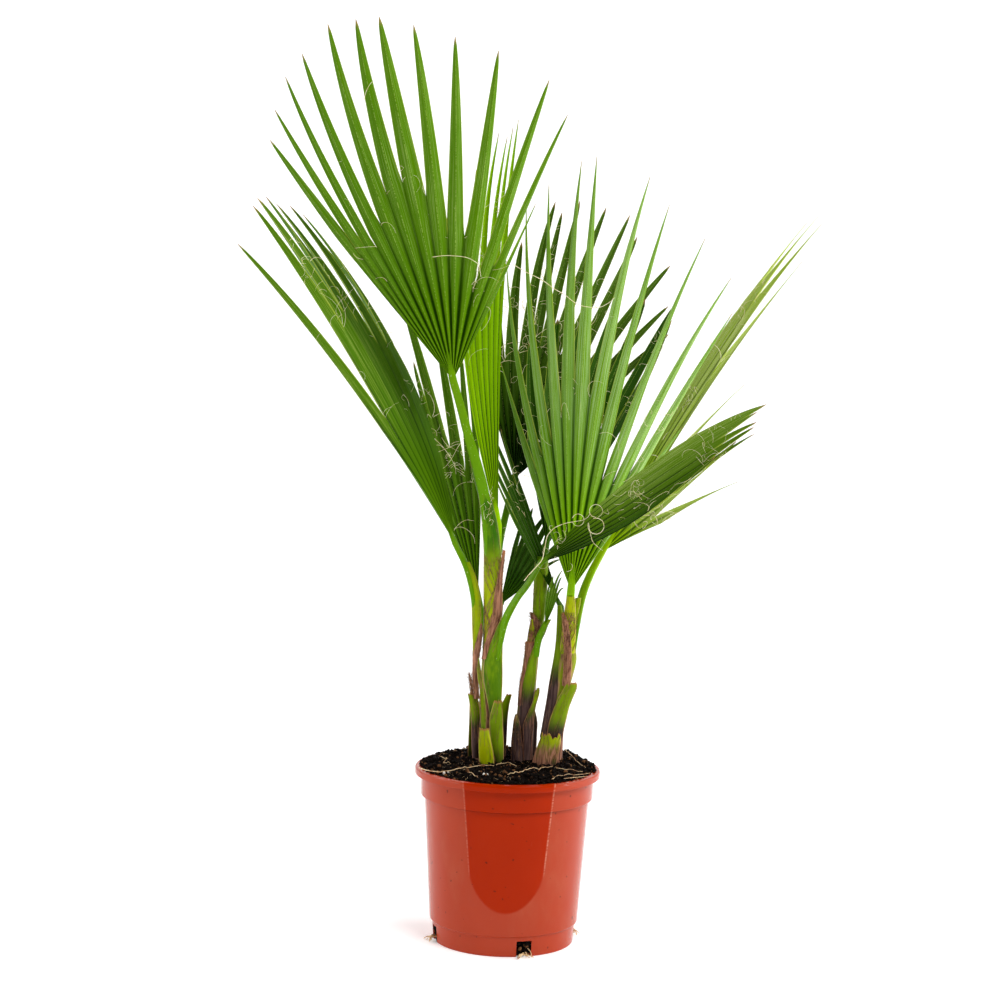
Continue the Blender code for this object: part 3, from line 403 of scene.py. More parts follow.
# %% The fronds
FRONDS = {
    "frond_tall_left": dict(
        tint="mid", blades=13, fold=-1, taper=0.58, bend=2, loose=0.16, threads=1,
        shade=(0.25, 0),
        joined="0.5 0.52 0.38 0.44 0.47 0.53 0.56 0.51 0.43 0.43 0.29 0.42 0.42 0.45",
        stalk="""
        -0.0248 0.0035 0.376  -0.024 0.001 0.393  -0.0258 -0.0045 0.4162
        -0.0282 -0.009 0.4401  -0.0328 -0.016 0.4661  -0.04 -0.026 0.4931
        -0.0476 -0.035 0.5177  -0.0567 -0.046 0.5502  -0.0652 -0.055 0.5783""",
        section="0.0078 0.0062  0.0116 0.007  0.011 0.0066  0.009 0.006  0.008 0.0056",
        rays="""
        -39.8 -38.7 4 0.296  -37 -34.8 5 0.318  -34.2 -30.1 5.6 0.337  -29.8 -25.8 5.8 0.353
        -24.4 -20.7 6.2 0.367  -19.3 -16.6 6.6 0.364  -12.8 -13 7 0.363  -6.4 -7.4 7.4 0.349
        -0.4 -0.8 7.2 0.338  7.2 6.4 6 0.325  15.4 16.4 3.6 0.311  20.8 21.9 1 0.286
        24.6 23.6 -2 0.193""",
    ),
    "frond_low_left": dict(
        tint="pleated", blades=8, taper=0.6, loose=0.3, threads=2,
        shade=(0.1, 0.45),
        joined="0.38 0.38 0.62 0.66 0.62 0.56 0.57 0.58 0.5",
        stalk="""
        -0.0345 0.0105 0.29  -0.0352 0.0098 0.306  -0.0366 0.0084 0.33  -0.0395 0.006 0.3555
        -0.0474 0.003 0.384  -0.06 0 0.4096""",
        section="0.007 0.0058  0.0092 0.0064  0.0076 0.0056",
        rays="""
        -29 -35.6 20 0.388  -26.7 -30.9 14.5 0.405  -23.8 -30.3 9.5 0.403
        -20.9 -29.7 4.5 0.398  -18 -29.4 -0.5 0.389  -15.2 -27.9 -5 0.384
        -12.3 -26.6 -9.5 0.378  -9.4 -26.6 -14 0.349""",
    ),
    "frond_rear_left": dict(
        tint="pleated", blades=6, taper=0.46, bend=2, loose=0.3, threads=3,
        shade=(0.2, 0.35),
        joined="0.5 0.6 0.76 0.56 0.5 0.5 0.5",
        stalk="-0.0215 0.015 0.3  -0.0235 0.0215 0.306  -0.0285 0.035 0.322  -0.0355 0.05 0.3479",
        section="0.0052 0.0052  0.007 0.0056  0.007 0.0052",
        rays="""
        -21.1 -20.5 -17 0.255  -17.4 -18.1 -16 0.262  -14.6 -16.5 -15.4 0.346
        -9.6 -11.1 -14.8 0.283  -5.1 -6.4 -14 0.269  -1.1 -3.8 -13 0.24""",
    ),
    "frond_spear": dict(
        tint="bright", blades=7, taper=0.8, bend=2, loose=0.14, threads=1,
        joined="0.62 0.62 0.6 0.58 0.6 0.62 0.66 0.66",
        stalk="""
        -0.0165 0.006 0.381  -0.0165 0.0062 0.394  -0.0165 0.0075 0.41  -0.0167 0.009 0.4271""",
        section="0.0056 0.0052  0.0076 0.006  0.008 0.006",
        rays="""
        -14.5 -8.8 3.4 0.271  -12.2 -6.8 3 0.31  -10 -4.8 2.6 0.361  -7.9 -1.3 2.2 0.396
        -5.9 0 1.8 0.395  -4 0.7 1.4 0.403  -2.2 1.5 1 0.411""",
    ),
    "frond_dark_rear": dict(
        tint="shady", blades=12, taper=0.5, bend=1.5, loose=0.4, threads=6,
        shade=(0.5, 0.1),
        joined="0.5 0.5 0.5 0.52 0.5 0.48 0.46 0.44 0.42 0.42 0.45 0.45 0.5",
        stalk="""
        -0.0155 0.0145 0.381  -0.0153 0.0152 0.394  -0.0125 0.04 0.418  -0.007 0.068 0.442
        -0.001 0.087 0.469""",
        section="0.0054 0.0052  0.0074 0.0058  0.0074 0.0052",
        rays="""
        -17 -11.2 -6 0.231  -11 -5.5 -7.5 0.257  -5 0 -9 0.251  1.5 6.4 -10 0.301
        6.5 8.7 -11 0.294  11 12.1 -11.5 0.306  16 16.7 -12 0.312  21.5 22.1 -13 0.314
        27 26.3 -14 0.299  33 34.4 -15 0.292  39 40.4 -15 0.257  45 45.5 -14.5 0.232""",
    ),
    "frond_arching": dict(
        tint="moss", blades=8, fold=-1, taper=0.62, loose=0.3, threads=2, shade=(0, 1),
        joined="0.72 0.74 0.78 0.78 0.76 0.74 0.72 0.7 0.6",
        stalk="""
        -0.015 -0.001 0.291  -0.0118 -0.0045 0.308  -0.0064 -0.013 0.3341  0.004 -0.033 0.3585
        0.015 -0.053 0.377  0.0268 -0.075 0.4018""",
        section="0.008 0.006  0.0108 0.0068  0.0078 0.0056  0.0068 0.005",
        rays="""
        40.5 52.7 1 0.271  43.5 52.6 6 0.267  47 52.4 11 0.263  50.5 52.6 15.5 0.261
        54.5 53.2 19 0.261  58.5 53.8 22 0.261  62.5 53.5 25 0.246  66.5 53.3 28 0.223""",
    ),
    "frond_low_rear": dict(
        tint="dark", blades=7, taper=0.5, loose=0.6, threads=0,
        joined="0.58",
        stalk="-0.0165 0.015 0.282  -0.0155 0.0215 0.29  -0.0135 0.037 0.316  -0.0123 0.05 0.3401",
        section="0.0052 0.0052  0.0068 0.0056  0.0066 0.005",
        rays="12 14 -14 0.1  20 21 -14 0.118  30 30 -13 0.122  40 39 -12 0.108  50 48 -11 0.08",
    ),
    "frond_middle_rear": dict(
        tint="dark", blades=7, taper=0.44, bend=1.5, loose=0.4, threads=2,
        shade=(0.2, 0.5),
        joined="0.5 0.5 0.5 0.5 0.48 0.46 0.45 0.5",
        stalk="""
        0.024 0.0205 0.309  0.0252 0.0212 0.323  0.0278 0.028 0.352  0.0305 0.042 0.38
        0.034 0.057 0.405""",
        section="0.0078 0.0066  0.0088 0.0064  0.0074 0.0052",
        rays="""
        -10 -6 -5 0.215  -2 1 -7.5 0.24  6 8 -10 0.262  13.5 15 -12 0.275  20.5 21.5 -14 0.285
        26 28.5 -16 0.297  31.5 29.6 -18 0.28""",
    ),
    "frond_small": dict(
        tint="mid", blades=5, taper=0.6, loose=0.6, threads=0,
        joined="0.6 0.6 0.6 0.6 0.6 0.6",
        stalk="""
        0.0262 0.007 0.294  0.0272 0.0055 0.307  0.0292 0.004 0.316  0.0318 0.003 0.3225
        0.0342 0.0022 0.3275""",
        section="0.006 0.0052  0.0072 0.0056  0.0056 0.0046",
        rays="0 4 1.5 0.046  6 8 1 0.056  12 11.5 0.5 0.06  18 15 0 0.056  24 18.5 -0.5 0.048",
    ),
    "frond_inner_right": dict(
        tint="dark", blades=5, taper=0.6, loose=0.6, threads=0,
        joined="0.55 0.6 0.62 0.62 0.6 0.55",
        stalk="0.053 0.0085 0.295  0.0525 0.0088 0.307  0.0508 0.0095 0.325  0.0505 0.012 0.345",
        section="0.0054 0.0052  0.0072 0.0056  0.0068 0.005",
        rays="""
        -31.5 -29.5 -3 0.16  -28.8 -27.5 -6 0.195  -26.2 -25.5 -8.5 0.215
        -23.6 -23.5 -11 0.218  -21 -21.5 -13 0.2""",
    ),
    "frond_front_right": dict(
        tint="fresh", blades=12, fold=-1, taper=0.95, bend=2, loose=0.22, threads=1,
        shade=(0.36, 0),
        joined="0.5 0.52 0.41 0.38 0.43 0.47 0.45 0.41 0.3 0.32 0.4 0.5 0.5",
        stalk="""
        0.059 0.0045 0.295  0.0588 0.0038 0.307  0.0582 -0.002 0.322  0.058 -0.014 0.343
        0.0587 -0.03 0.3677""",
        section="0.0058 0.0052  0.0088 0.0062  0.0082 0.0056",
        rays="""
        -20.6 -19.1 -18 0.251  -17.2 -13 -13 0.346  -12.3 -8.4 -7 0.399  -7.3 -5 -2.5 0.413
        -3.6 -0.2 -0.5 0.43  1.1 1.5 0.2 0.434  5.5 9.1 0.5 0.422  10.7 12.3 0.5 0.399
        16.5 19 0.5 0.377  21.9 25 0 0.352  27.4 28.2 -2 0.324  32.4 32.6 -5 0.201""",
    ),
    "frond_far_right": dict(
        tint="olive", blades=9, taper=1.9, loose=0.22, threads=3,
        joined="0.6 0.66 0.68 0.66 0.6 0.46 0.36 0.4 0.42 0.42",
        stalk="""
        0.064 0.0105 0.295  0.0648 0.0112 0.307  0.0668 0.0155 0.325  0.0716 0.03 0.3526
        0.0802 0.045 0.3749  0.0925 0.06 0.3975""",
        section="0.0054 0.0052  0.0088 0.0064  0.0076 0.0054",
        rays="""
        23.4 31.2 -13 0.417  24.6 31 -11 0.42  25.8 31.4 -9 0.428  27 32.2 -7 0.417
        28.5 33.2 -5 0.369  32.5 38.9 -4 0.229  41 47 -3.5 0.15  52 49.1 -3 0.17
        57 60.8 -2.5 0.159""",
    ),
}
USUAL = {"fold": 1, "bend": 1, "shade": (0, 0.2)}
for name, frond in FRONDS.items():
    for key, width in (("joined", 1), ("stalk", 3), ("section", 2), ("rays", 4)):
        frond[key] = table(width, frond[key])
    FRONDS[name] = USUAL | frond
print(len(FRONDS), "fronds,", sum(frond["blades"] for frond in FRONDS.values()), "blades")

# %% [markdown]
# ## The shape of a fan
#
# A fan leaf is folded like a paper fan. Every blade is a long V between its midrib and its two
# margins. Near the hub neighbours share their margins, and further out these split and each blade
# runs free to a thin tip. A fan that faces the viewer shows its midribs in front and one seen from
# behind shows them sunk, so each frond says which way it folds. A bearing that turns along a ray
# gives the fan its sweep. Seeded draws vary the lengths and splits, as in the solids.

# %% Rays and their directions
NEAREST_RADIUS = 0.010
SHARE_STEP = 0.02
RADIUS_STEP = 0.96
PLEAT_SLOPE = 0.62


def ray_rows(frond, share):
    rays = frond["rays"]
    place = share * (len(rays) - 1)
    index = np.clip(np.floor(place).astype(int), 0, len(rays) - 2)
    return rays[index] + (rays[index + 1] - rays[index]) * (place - index)[..., None]


def ray_points(frond, share, radius):
    share, radius = np.broadcast_arrays(share, radius)
    row = ray_rows(frond, share)
    reach = np.minimum(radius / row[..., 3], 1.0) ** frond["bend"]
    bearing = np.radians(row[..., 0] + (row[..., 1] - row[..., 0]) * reach)
    lean = np.radians(row[..., 2])
    way = (np.sin(bearing) * np.cos(lean), -np.sin(lean), np.cos(bearing) * np.cos(lean))
    return frond["stalk"][-1] + np.stack(way, axis=-1) * radius[..., None]


def ray_ways(frond, share, radius):
    """The ways along a ray, across the fan and out of its front."""
    near = np.maximum(radius, NEAREST_RADIUS)
    along = unit(ray_points(frond, share, near) - ray_points(frond, share, near * RADIUS_STEP))
    ahead = ray_points(frond, share + SHARE_STEP, near)
    across = unit(cross_off(ahead - ray_points(frond, share - SHARE_STEP, near), along))
    return along, across, np.cross(across, along)


def half_width(frond, share, radius):
    step = 0.5 / (frond["blades"] - 1)
    low = ray_points(frond, share - step, radius)
    return 0.5 * np.linalg.norm(ray_points(frond, share + step, radius) - low, axis=-1)


# %% The width of a free blade
WIDTH_FLOOR = 0.85
WIDEN_BY = 0.22


def free_width(frond, share, radius, s):
    """Half the width of a free blade: one that was crowded in the pleats opens out past them."""
    crowded = half_width(frond, np.asarray(share), radius)
    every = half_width(frond, np.linspace(0, 1, frond["blades"]), np.asarray(radius))
    full = np.maximum(crowded, WIDTH_FLOOR * np.median(every))
    return crowded + (full - crowded) * np.clip(s / WIDEN_BY, 0, 1)


# %% Lengths and splits of one frond
LENGTH_JITTER = (0.994, 1.006)
SPLIT_JITTER = (0.97, 1.03)


def measure_blades(frond, draw):
    """Each blade's length, and the radius at which each ridge splits."""
    count = frond["blades"]
    shares = np.arange(count) / (count - 1)
    lengths = [ray_rows(frond, share)[3] * draw.uniform(*LENGTH_JITTER) for share in shares]
    splits = []
    stations = np.linspace(0, count, len(frond["joined"]))
    for edge in range(count + 1):
        near = [lengths[i] for i in (edge - 1, edge) if 0 <= i < count]
        joined = np.interp(edge, stations, frond["joined"])
        splits.append(joined * min(near) * draw.uniform(*SPLIT_JITTER))
    return shares, lengths, splits

# %% [markdown]
# ## One blade
#
# The solid blade has three points across. Here it has eleven, so that the two halves of the V are
# gently rounded, and it is thinner, as a leaf is. Near the hub the folds are deeper, because the
# blades are crowded there. Past the split the blade narrows, and each one gets its own small bend,
# twist and droop, without which a fan looks cut from sheet metal. Its points keep where they are
# along and across the blade and how deep in a fold: the material draws ribs and painted shade in
# the folds' valleys from that, and paints shade on one side of a fan where the frond's row says
# so.

# %% Build a blade
COLUMNS = np.array((-1.0, -0.86, -0.64, -0.38, -0.14, 0.0, 0.14, 0.38, 0.64, 0.86, 1.0))
JOINED_ROWS = 12
FIRST_ROW = 0.035
FREE_ROWS = 20
FREE_ROW_POWER = 0.9
HUB_SLOPE = 0.75
HUB_REACH = 0.34
BLADE_THICKNESS = 0.0006
TIP_THINNING = 0.55
TIP_HALF_WIDTH = 0.00022
FOLD_POWER = 1.22
TWIST = 0.9
BEND = 0.012
CURL = 0.010
DROOP = 0.010


def blade(frond, k, shares, lengths, splits, draw):
    u = COLUMNS
    share = shares[k]
    step = 0.5 / (frond["blades"] - 1)
    middle = (splits[k] + splits[k + 1]) / 2
    sides = np.where(u < 0, splits[k], splits[k + 1])
    split = middle * (1 - abs(u)) + sides * abs(u)
    fold = abs(u) ** FOLD_POWER - 0.5
    t = np.linspace(FIRST_ROW, 1.0, JOINED_ROWS)[:, None]
    radius = split * t
    spread = np.broadcast_to(share + u * step, radius.shape)
    points = ray_points(frond, spread, radius)
    _, across, normal = ray_ways(frond, spread, radius)
    steep = PLEAT_SLOPE + HUB_SLOPE * np.clip(1 - radius / (HUB_REACH * lengths[k]), 0, 1)
    lift = frond["fold"] * steep * half_width(frond, spread, radius) * fold
    joined = points + normal * lift[..., None]
    s = np.linspace(0.0, 1.0, FREE_ROWS + 1)[1:, None] ** FREE_ROW_POWER
    radius_free = split + (lengths[k] - split) * s
    spread_free = np.full(radius_free.shape, share)
    points = ray_points(frond, spread_free, radius_free)
    _, across_free, normal_free = ray_ways(frond, spread_free, radius_free)
    half = free_width(frond, share, middle, s) * (1 - s) ** frond["taper"] + TIP_HALF_WIDTH
    twist = draw.uniform(-1, 1) * frond["loose"] * TWIST * s**2
    side = across_free * np.cos(twist)[..., None] + normal_free * np.sin(twist)[..., None]
    out = normal_free * np.cos(twist)[..., None] - across_free * np.sin(twist)[..., None]
    bend = draw.uniform(-1, 1) * BEND * frond["loose"] * s**2.5
    curl = draw.uniform(-1, 0.6) * CURL * frond["loose"] * s**2
    droop = draw.uniform(0.2, 1.0) * DROOP * frond["loose"] * s**4
    lift = frond["fold"] * PLEAT_SLOPE * half * fold
    free = points + side * (u * half)[..., None] + out * lift[..., None]
    free = free + across_free * bend[..., None] + normal_free * curl[..., None]
    free = free - UP * droop[..., None]
    grid = np.vstack((joined, free))
    normals = np.vstack((normal, out))
    along = np.vstack((radius, radius_free)) / lengths[k]
    open_share = np.vstack((np.zeros((JOINED_ROWS, 1)), s))
    thin = BLADE_THICKNESS * (1 - TIP_THINNING * open_share) / 2
    values = {"along": along, "across": u[None, :], "free": open_share, "tone": draw.random()}
    # Painted shade: the frond's row darkens its fan from left to right; sunk is how deep a point
    # lies in a valley, where the material paints shade near the hub.
    left, right = frond["shade"]
    values["shade"] = left + (right - left) * share
    values["sunk"] = 1 - abs(u) if frond["fold"] > 0 else abs(u)
    return plate(grid + normals * thin[..., None], grid - normals * thin[..., None], **values)


# %% The stalk under a fan
STALK_SIDES = 16
STALK_CHANNEL = 0.28
RIB_SHARE = 0.11
RIB_STATIONS = (0.25, 0.5, 0.75, 1.0)
RIB_WIDTHS = np.array((0.86, 0.62, 0.36, 0.10))
RIB_FLATNESS = 0.8
RIB_SINK = 0.0008


def stalk(frond):
    """The stalk from its foot to the hub, and on as a tapered rib behind the fan."""
    route = smooth_route(frond["stalk"], 7)
    section = frond["section"]
    middle, across, normal = ray_ways(frond, np.array(0.5), np.array(0.0))
    steps = np.linalg.norm(np.diff(route, axis=0), axis=1)
    shares = np.concatenate(([0.0], np.cumsum(steps))) / np.sum(steps)
    stations = np.linspace(0.0, 1.0, len(section))
    wide = np.interp(shares, stations, section[:, 0]) / 2
    deep = np.interp(shares, stations, section[:, 1]) / 2
    rib = RIB_SHARE * frond["rays"][:, 3].max()
    ends = [route[-1] + middle * rib * s - normal * RIB_SINK for s in RIB_STATIONS]
    route = np.vstack((route, ends))
    wide = np.append(wide, wide[-1] * RIB_WIDTHS)
    deep = np.append(deep, deep[-1] * RIB_WIDTHS * RIB_FLATNESS)
    return tube(route, wide, deep, across, STALK_SIDES, channel=STALK_CHANNEL)

# %% [markdown]
# ## Leaf green
#
# A leaf isn't one green. Near the hub it is yellow, and painted brighter there for light shining
# through; in two fans it is painted darker there, as shade. The middle is a deep green with a
# painted waxy sheen on the lit side of the fan, and the tips dry to tan. Painted shade fills the
# valleys of the folds near the hub. Fine veins run the whole length, the midrib is a pale line of
# tiny hairs, and the margins are edged in straw. All of it is drawn from where a point is along
# and across its blade, so it follows every bend and costs no image.

# %% The leaf material
# A tint is a deep green; a hub green, yellower and painted brighter for light shining through, or
# painted darker as shade in the shady and moss tints; a pale green for the painted sheen; how far
# along the blade the painted shade in the folds' valleys reaches; how widely sheen is painted; and
# a group name that nothing reads.
LEAF_TINTS = {
    "mid": ((86, 130, 0), (100, 144, 0), (160, 188, 96), 0.60, 0.45, "leaf"),
    "pleated": ((78, 120, 0), (94, 136, 0), (156, 178, 76), 1.70, 0.55, "leaf"),
    "fresh": ((110, 158, 0), (134, 184, 0), (196, 222, 160), 0.90, 0.90, "leaf_bright"),
    "bright": ((140, 190, 0), (156, 204, 0), (176, 208, 20), 1.20, 0.30, "leaf_bright"),
    "olive": ((144, 172, 24), (150, 190, 0), (208, 216, 150), 1.20, 1.00, "leaf_bright"),
    "moss": ((96, 134, 0), (68, 104, 0), (186, 200, 120), 1.90, 0.80, "leaf_dark"),
    "shady": ((66, 100, 4), (26, 54, 2), (154, 176, 100), 0.90, 0.55, "leaf_dark"),
    "dark": ((42, 82, 2), (56, 96, 2), (116, 146, 66), 1.00, 0.50, "leaf_dark"),
}


def leaf_material(tint):
    *greens, pleated, sheen, _ = LEAF_TINTS[tint]
    deep, hub, pale = [colour(*green) for green in greens]
    leaf = Shader("leaf_" + tint, IOR=1.40, Specular_IOR_Level=0.05)
    along, across, tone = leaf.stored("along"), leaf.stored("across"), leaf.stored("tone")
    free, sunk, shade = leaf.stored("free"), leaf.stored("sunk"), leaf.stored("shade")
    strands = leaf.grid(across * 9.0 + tone * 40.0, along * 1.6, tone * 17.0)
    streak = leaf.noise(strands, 2.6, detail=4.0, roughness=0.62)
    patch = leaf.noise(leaf.place(), 17.0, detail=2.0)
    # Near the hub: yellower and painted brighter for light shining through, or painted shade in
    # two tints.
    green = leaf.mix(along.rise(0.02, 0.36), hub, deep)
    # Painted sheen: pale streaks in the middle of the blades, only where the painted shade is
    # light.
    band = along.rise(0.16, 0.48) * (1 - along.rise(0.66, 1.0) * 0.5)
    glint = streak.rise(0.58 - 0.13 * sheen, 0.69 - 0.13 * sheen)
    green = leaf.mix(band * glint * (1 - shade * 1.4) * 0.85, green, pale)
    dull = (tone * 0.30 + patch * 0.35 + streak * 0.2).rise(0.15, 0.65) * 0.42
    green = leaf.darken(dull, green, (0.48, 0.60, 0.34))
    # Painted shade on one side of the fan.
    green = leaf.darken(shade, green, (0.26, 0.36, 0.16))
    # Painted shade in the valleys of the folds near the hub, fading out as far along as the tint
    # says.
    painted_crease_shade = (sunk - along.rise(0.04, 0.45) * 0.34).rise(0.28, 0.72)
    fold = painted_crease_shade * (1 - free.rise(0.0, 0.30)) * (1 - along.rise(pleated * 0.3, pleated) * 0.85)
    green = leaf.darken(fold * 0.94, green, (0.09, 0.18, 0.05))
    dots = leaf.noise(leaf.grid(along * 240.0, tone * 31.0), 1.0, detail=1.0)
    rib = (1 - across.size().rise(0.015, 0.085)) * dots.rise(0.38, 0.60)
    green = leaf.mix(rib * 0.34, green, colour(178, 200, 100))
    margin = across.size().rise(0.86, 0.985) * free.rise(0.0, 0.05)
    green = leaf.mix(margin * 0.55, green, colour(176, 190, 70))
    ragged = leaf.noise(strands, 6.0, detail=2.0)
    dry = (along + ragged * 0.03 - 0.015).rise(0.968, 0.998) * free
    green = leaf.mix(dry * 0.85, green, colour(160, 122, 80))
    leaf.paint(Base_Color=green, Roughness=0.30 + streak * 0.16 + dry * 0.2)
    veins = leaf.noise(leaf.grid(across * 30.0 + tone * 90.0, along * 3.0), 1.0, detail=3.0)
    leaf.bump(veins * 0.7 + rib * 0.6, 0.0005, 0.55)
    return leaf.material


LEAVES = {tint: leaf_material(tint) for tint in LEAF_TINTS}
print("leaf tints:", ", ".join(LEAVES))

# %% The stalk material
def stalk_material(tint):
    deep, hub = [colour(*green) for green in LEAF_TINTS[tint][:2]]
    rind = Shader("stalk_" + tint, Roughness=0.36, IOR=1.40, Specular_IOR_Level=0.09)
    along = rind.stored("along")
    speck = rind.noise(rind.place(1.0, 1.0, 0.4), 900.0, detail=1.0)
    cloud = rind.noise(rind.place(1.0, 1.0, 0.15), 130.0, detail=3.0)
    low = rind.mix(along.rise(0.3, 1.0), colour(92, 142, 0), hub)
    body = rind.mix(cloud.rise(0.4, 0.7) * 0.5, low, deep)
    body = rind.mix(speck.rise(0.70, 0.76) * 0.5, body, colour(200, 215, 150))
    rind.paint(Base_Color=body)
    rind.bump(cloud * 0.6 + speck * 0.2, 0.0004, 0.4)
    return rind.material


STALKS = {tint: stalk_material(tint) for tint in LEAF_TINTS}

# %% Make the fronds
draw = random.Random(7)
loose_draw = random.Random(21)
blade_shapes = {}
for name, frond in FRONDS.items():
    shares, lengths, splits = measure_blades(frond, draw)
    blade_shapes[name] = (shares, lengths, splits)
    blades = [
        blade(frond, k, shares, lengths, splits, loose_draw) for k in range(frond["blades"])
    ]
    tint = frond["tint"]
    add_piece(name + "_fan", join(blades), LEAVES[tint], name, sharp=38.0)
    add_piece(name + "_stalk", stalk(frond), STALKS[tint], name)

# %% [markdown]
# ## Threads
#
# The margins of a fan palm's young blades shed cream threads that curl as they dry. They hang
# from the splits between the blades and loop along the margins. Hair curves would be the quick
# way, but they don't survive an export, so each thread is a thin tube that a small walk bends:
# its direction keeps turning about an axis which itself drifts.

# %% Walk a thread
THREAD_STRIDE = 0.0036
THREAD_FALL = 0.25
AXIS_DRIFT = 0.5
CENTIMETRE = 0.01


def curl_route(start, way, length, curl, draw):
    """A walk from a place; curl is how many radians a metre its direction turns."""
    steps = max(8, int(length / THREAD_STRIDE))
    stride = length / steps
    axis = unit(np.cross(way, [draw.uniform(-1, 1) for _ in range(3)]))
    points = [start]
    for _ in range(steps):
        angle = curl * stride
        way = way * math.cos(angle) + np.cross(axis, way) * math.sin(angle)
        way = unit(way + np.array((0.0, 0.0, -THREAD_FALL * stride / CENTIMETRE)) * 0.1)
        drift = np.array([draw.gauss(0, AXIS_DRIFT) for _ in range(3)]) * 0.3
        axis = unit(cross_off(axis + drift, way))
        points.append(points[-1] + way * stride)
    return np.array(points)


# %% The short threads of a frond
SPLIT_LENGTHS, SPLIT_CURLS, SPLIT_RADII = (0.014, 0.052), (25, 110), (0.00011, 0.00022)
MARGIN_LENGTHS, MARGIN_CURLS, MARGIN_RADII = (0.007, 0.026), (60, 220), (0.00009, 0.00018)


def frond_threads(frond, shapes, draw):
    """Threads from the splits between the blades, and then from the blades' margins."""
    shares, lengths, splits = shapes
    count = frond["blades"]
    heavy = 0.85 + 0.17 * frond["threads"]
    strands = []
    for edge in range(count + 1):
        share = (edge - 0.5) / (count - 1)
        for _ in range(frond["threads"]):
            radius = splits[edge] * draw.uniform(0.985, 1.01)
            start = ray_points(frond, np.array(share), np.array(radius))
            along, across, normal = ray_ways(frond, np.array(share), np.array(radius))
            way = along * draw.uniform(0.2, 1.0) + across * draw.uniform(-0.8, 0.8)
            way = unit(way + normal * draw.uniform(-0.4, 0.7))
            length = draw.uniform(*SPLIT_LENGTHS)
            route = curl_route(start, way, length, draw.uniform(*SPLIT_CURLS), draw)
            strands.append(hair(route, heavy * draw.uniform(*SPLIT_RADII)))
    for k in range(count):
        for _ in range(2 * frond["threads"]):
            side = draw.choice((-1, 1))
            s = draw.uniform(0.0, 0.6)
            middle = (splits[k] + splits[k + 1]) / 2
            radius = np.array(middle + (lengths[k] - middle) * s)
            half = free_width(frond, shares[k], middle, s) * (1 - s) ** frond["taper"]
            along, across, normal = ray_ways(frond, np.array(shares[k]), radius)
            start = ray_points(frond, np.array(shares[k]), radius) + across * side * half
            start = start + normal * frond["fold"] * PLEAT_SLOPE * half * 0.5
            way = along * draw.uniform(0.2, 1.0) + across * side
            way = unit(way + normal * draw.uniform(-0.5, 0.5))
            length = draw.uniform(*MARGIN_LENGTHS)
            route = curl_route(start, way, length, draw.uniform(*MARGIN_CURLS), draw)
            strands.append(hair(route, heavy * draw.uniform(*MARGIN_RADII)))
    return join(strands)


# %% Make the threads
CREAM = mottled("cream_thread", 0.6, 220.0, (248, 240, 200), (214, 194, 132))
thread_draw = random.Random(5)
for name, frond in FRONDS.items():
    if frond["threads"]:
        part = frond_threads(frond, blade_shapes[name], thread_draw)
        add_piece(name + "_threads", part, CREAM)

# %% [markdown]
# ## Long threads and tufts
#
# A few threads are long enough to know one by one: an arc across the tall fan, a long white one
# across the middle, loops where the arching frond lies over the fan behind it. Each is a route
# in millimetres with its own radius. Where many short threads stand together they are tufts,
# given by their middle, how far they spread to the side and upright, their number and length.

# %% The long threads and the tufts
LAID_THREADS = [
    (0.42, """
        -88 -74.2 698.9  -74.3 -74.3 700.7  -56.6 -71.9 699.7  -47.4 -71.3 696.1
        -42.6 -69.1 691.7  -40.1 -66.9 680.7"""),
    (0.52, """
        -9.6 -66 694.2  3.8 -74 686.8  19.6 -82 679.6  30.4 -90 672.2  42 -98 665.8
        50.8 -104 659.4  59 -108 655.9  73.5 -108 654.8  82.6 -106 658.4  90.3 -104 664.8"""),
    (0.3, "-136.7 40.5 619.9  -130 40.5 620.8  -122.9 40.5 621.3  -116.2 40.5 620.9"),
    (0.55, """
        10.5 -81.9 383.6  15.3 -81.9 389.9  21.9 -81.9 397.5  27.6 -81.9 405  29.8 -81.9 415.6
        31.9 -81.9 427.6  35.7 -81.9 433.6  40.5 -81.9 437.7  49.2 -81.9 441.5  59 -81.9 443.7
        66.8 -81.9 445.4  71.6 -81.9 448.5  73.5 -81.9 452.5"""),
    (0.42, """
        56.2 -85.9 447.6  58.7 -85.9 450.8  62.6 -85.9 451.6  66.2 -85.9 449.6
        67.7 -85.9 445.9  66.4 -85.9 442  63 -85.9 439.9  59 -85.9 440.5  56.3 -85.9 443.5"""),
    (0.42, """
        79 -95.3 449.6  74.7 -95.3 451.2  72.5 -95.3 455.3  73.6 -95.3 459.8  77.5 -95.3 462.3
        82.1 -95.3 461.5  84.9 -95.3 457.9  84.5 -95.3 453.2  81.2 -95.3 450.1"""),
    (0.45, """
        75.8 -110.9 450.2  80.9 -110.9 450.4  85.1 -110.9 447.4  86.4 -110.9 442.3
        84.3 -110.9 437.6  79.8 -110.9 435.2  74.7 -110.9 436.2  71.4 -110.9 440.2
        71.3 -110.9 445.4  75.2 -110.9 429.2  80.2 -110.9 423.4  85.8 -110.9 419.2"""),
    (0.36, "-64.3 66 399.7  -63.5 66 412.4  -58.5 66 420.9  -50.3 66 426.4  -41.9 66 425.6"),
    (0.34, """
        -40.1 64.3 397.4  -41.4 64.3 407.9  -46.9 64.3 415.1  -55.3 64.3 419.1
        -62.6 64.3 416.8"""),
    (0.36, """
        -86.3 81.1 510.2  -77.7 81.1 502  -70.2 81.1 492.8  -63.6 81.1 481.4  -62.3 81.1 473"""),
    (0.36, "-53.9 82.5 512.1  -61 82.5 501.4  -67 82.5 489.6  -73 82.5 481  -79.2 82.5 476.6"),
    (0.32, "-81.9 86.9 495.2  -71.5 86.9 499.7  -61.1 86.9 504.2  -52.7 86.9 502.3"),
    (0.34, "-157.2 -92.7 846.7  -155.5 -92.7 855.3  -150.8 -93.6 864  -145.1 -93.6 867"),
]
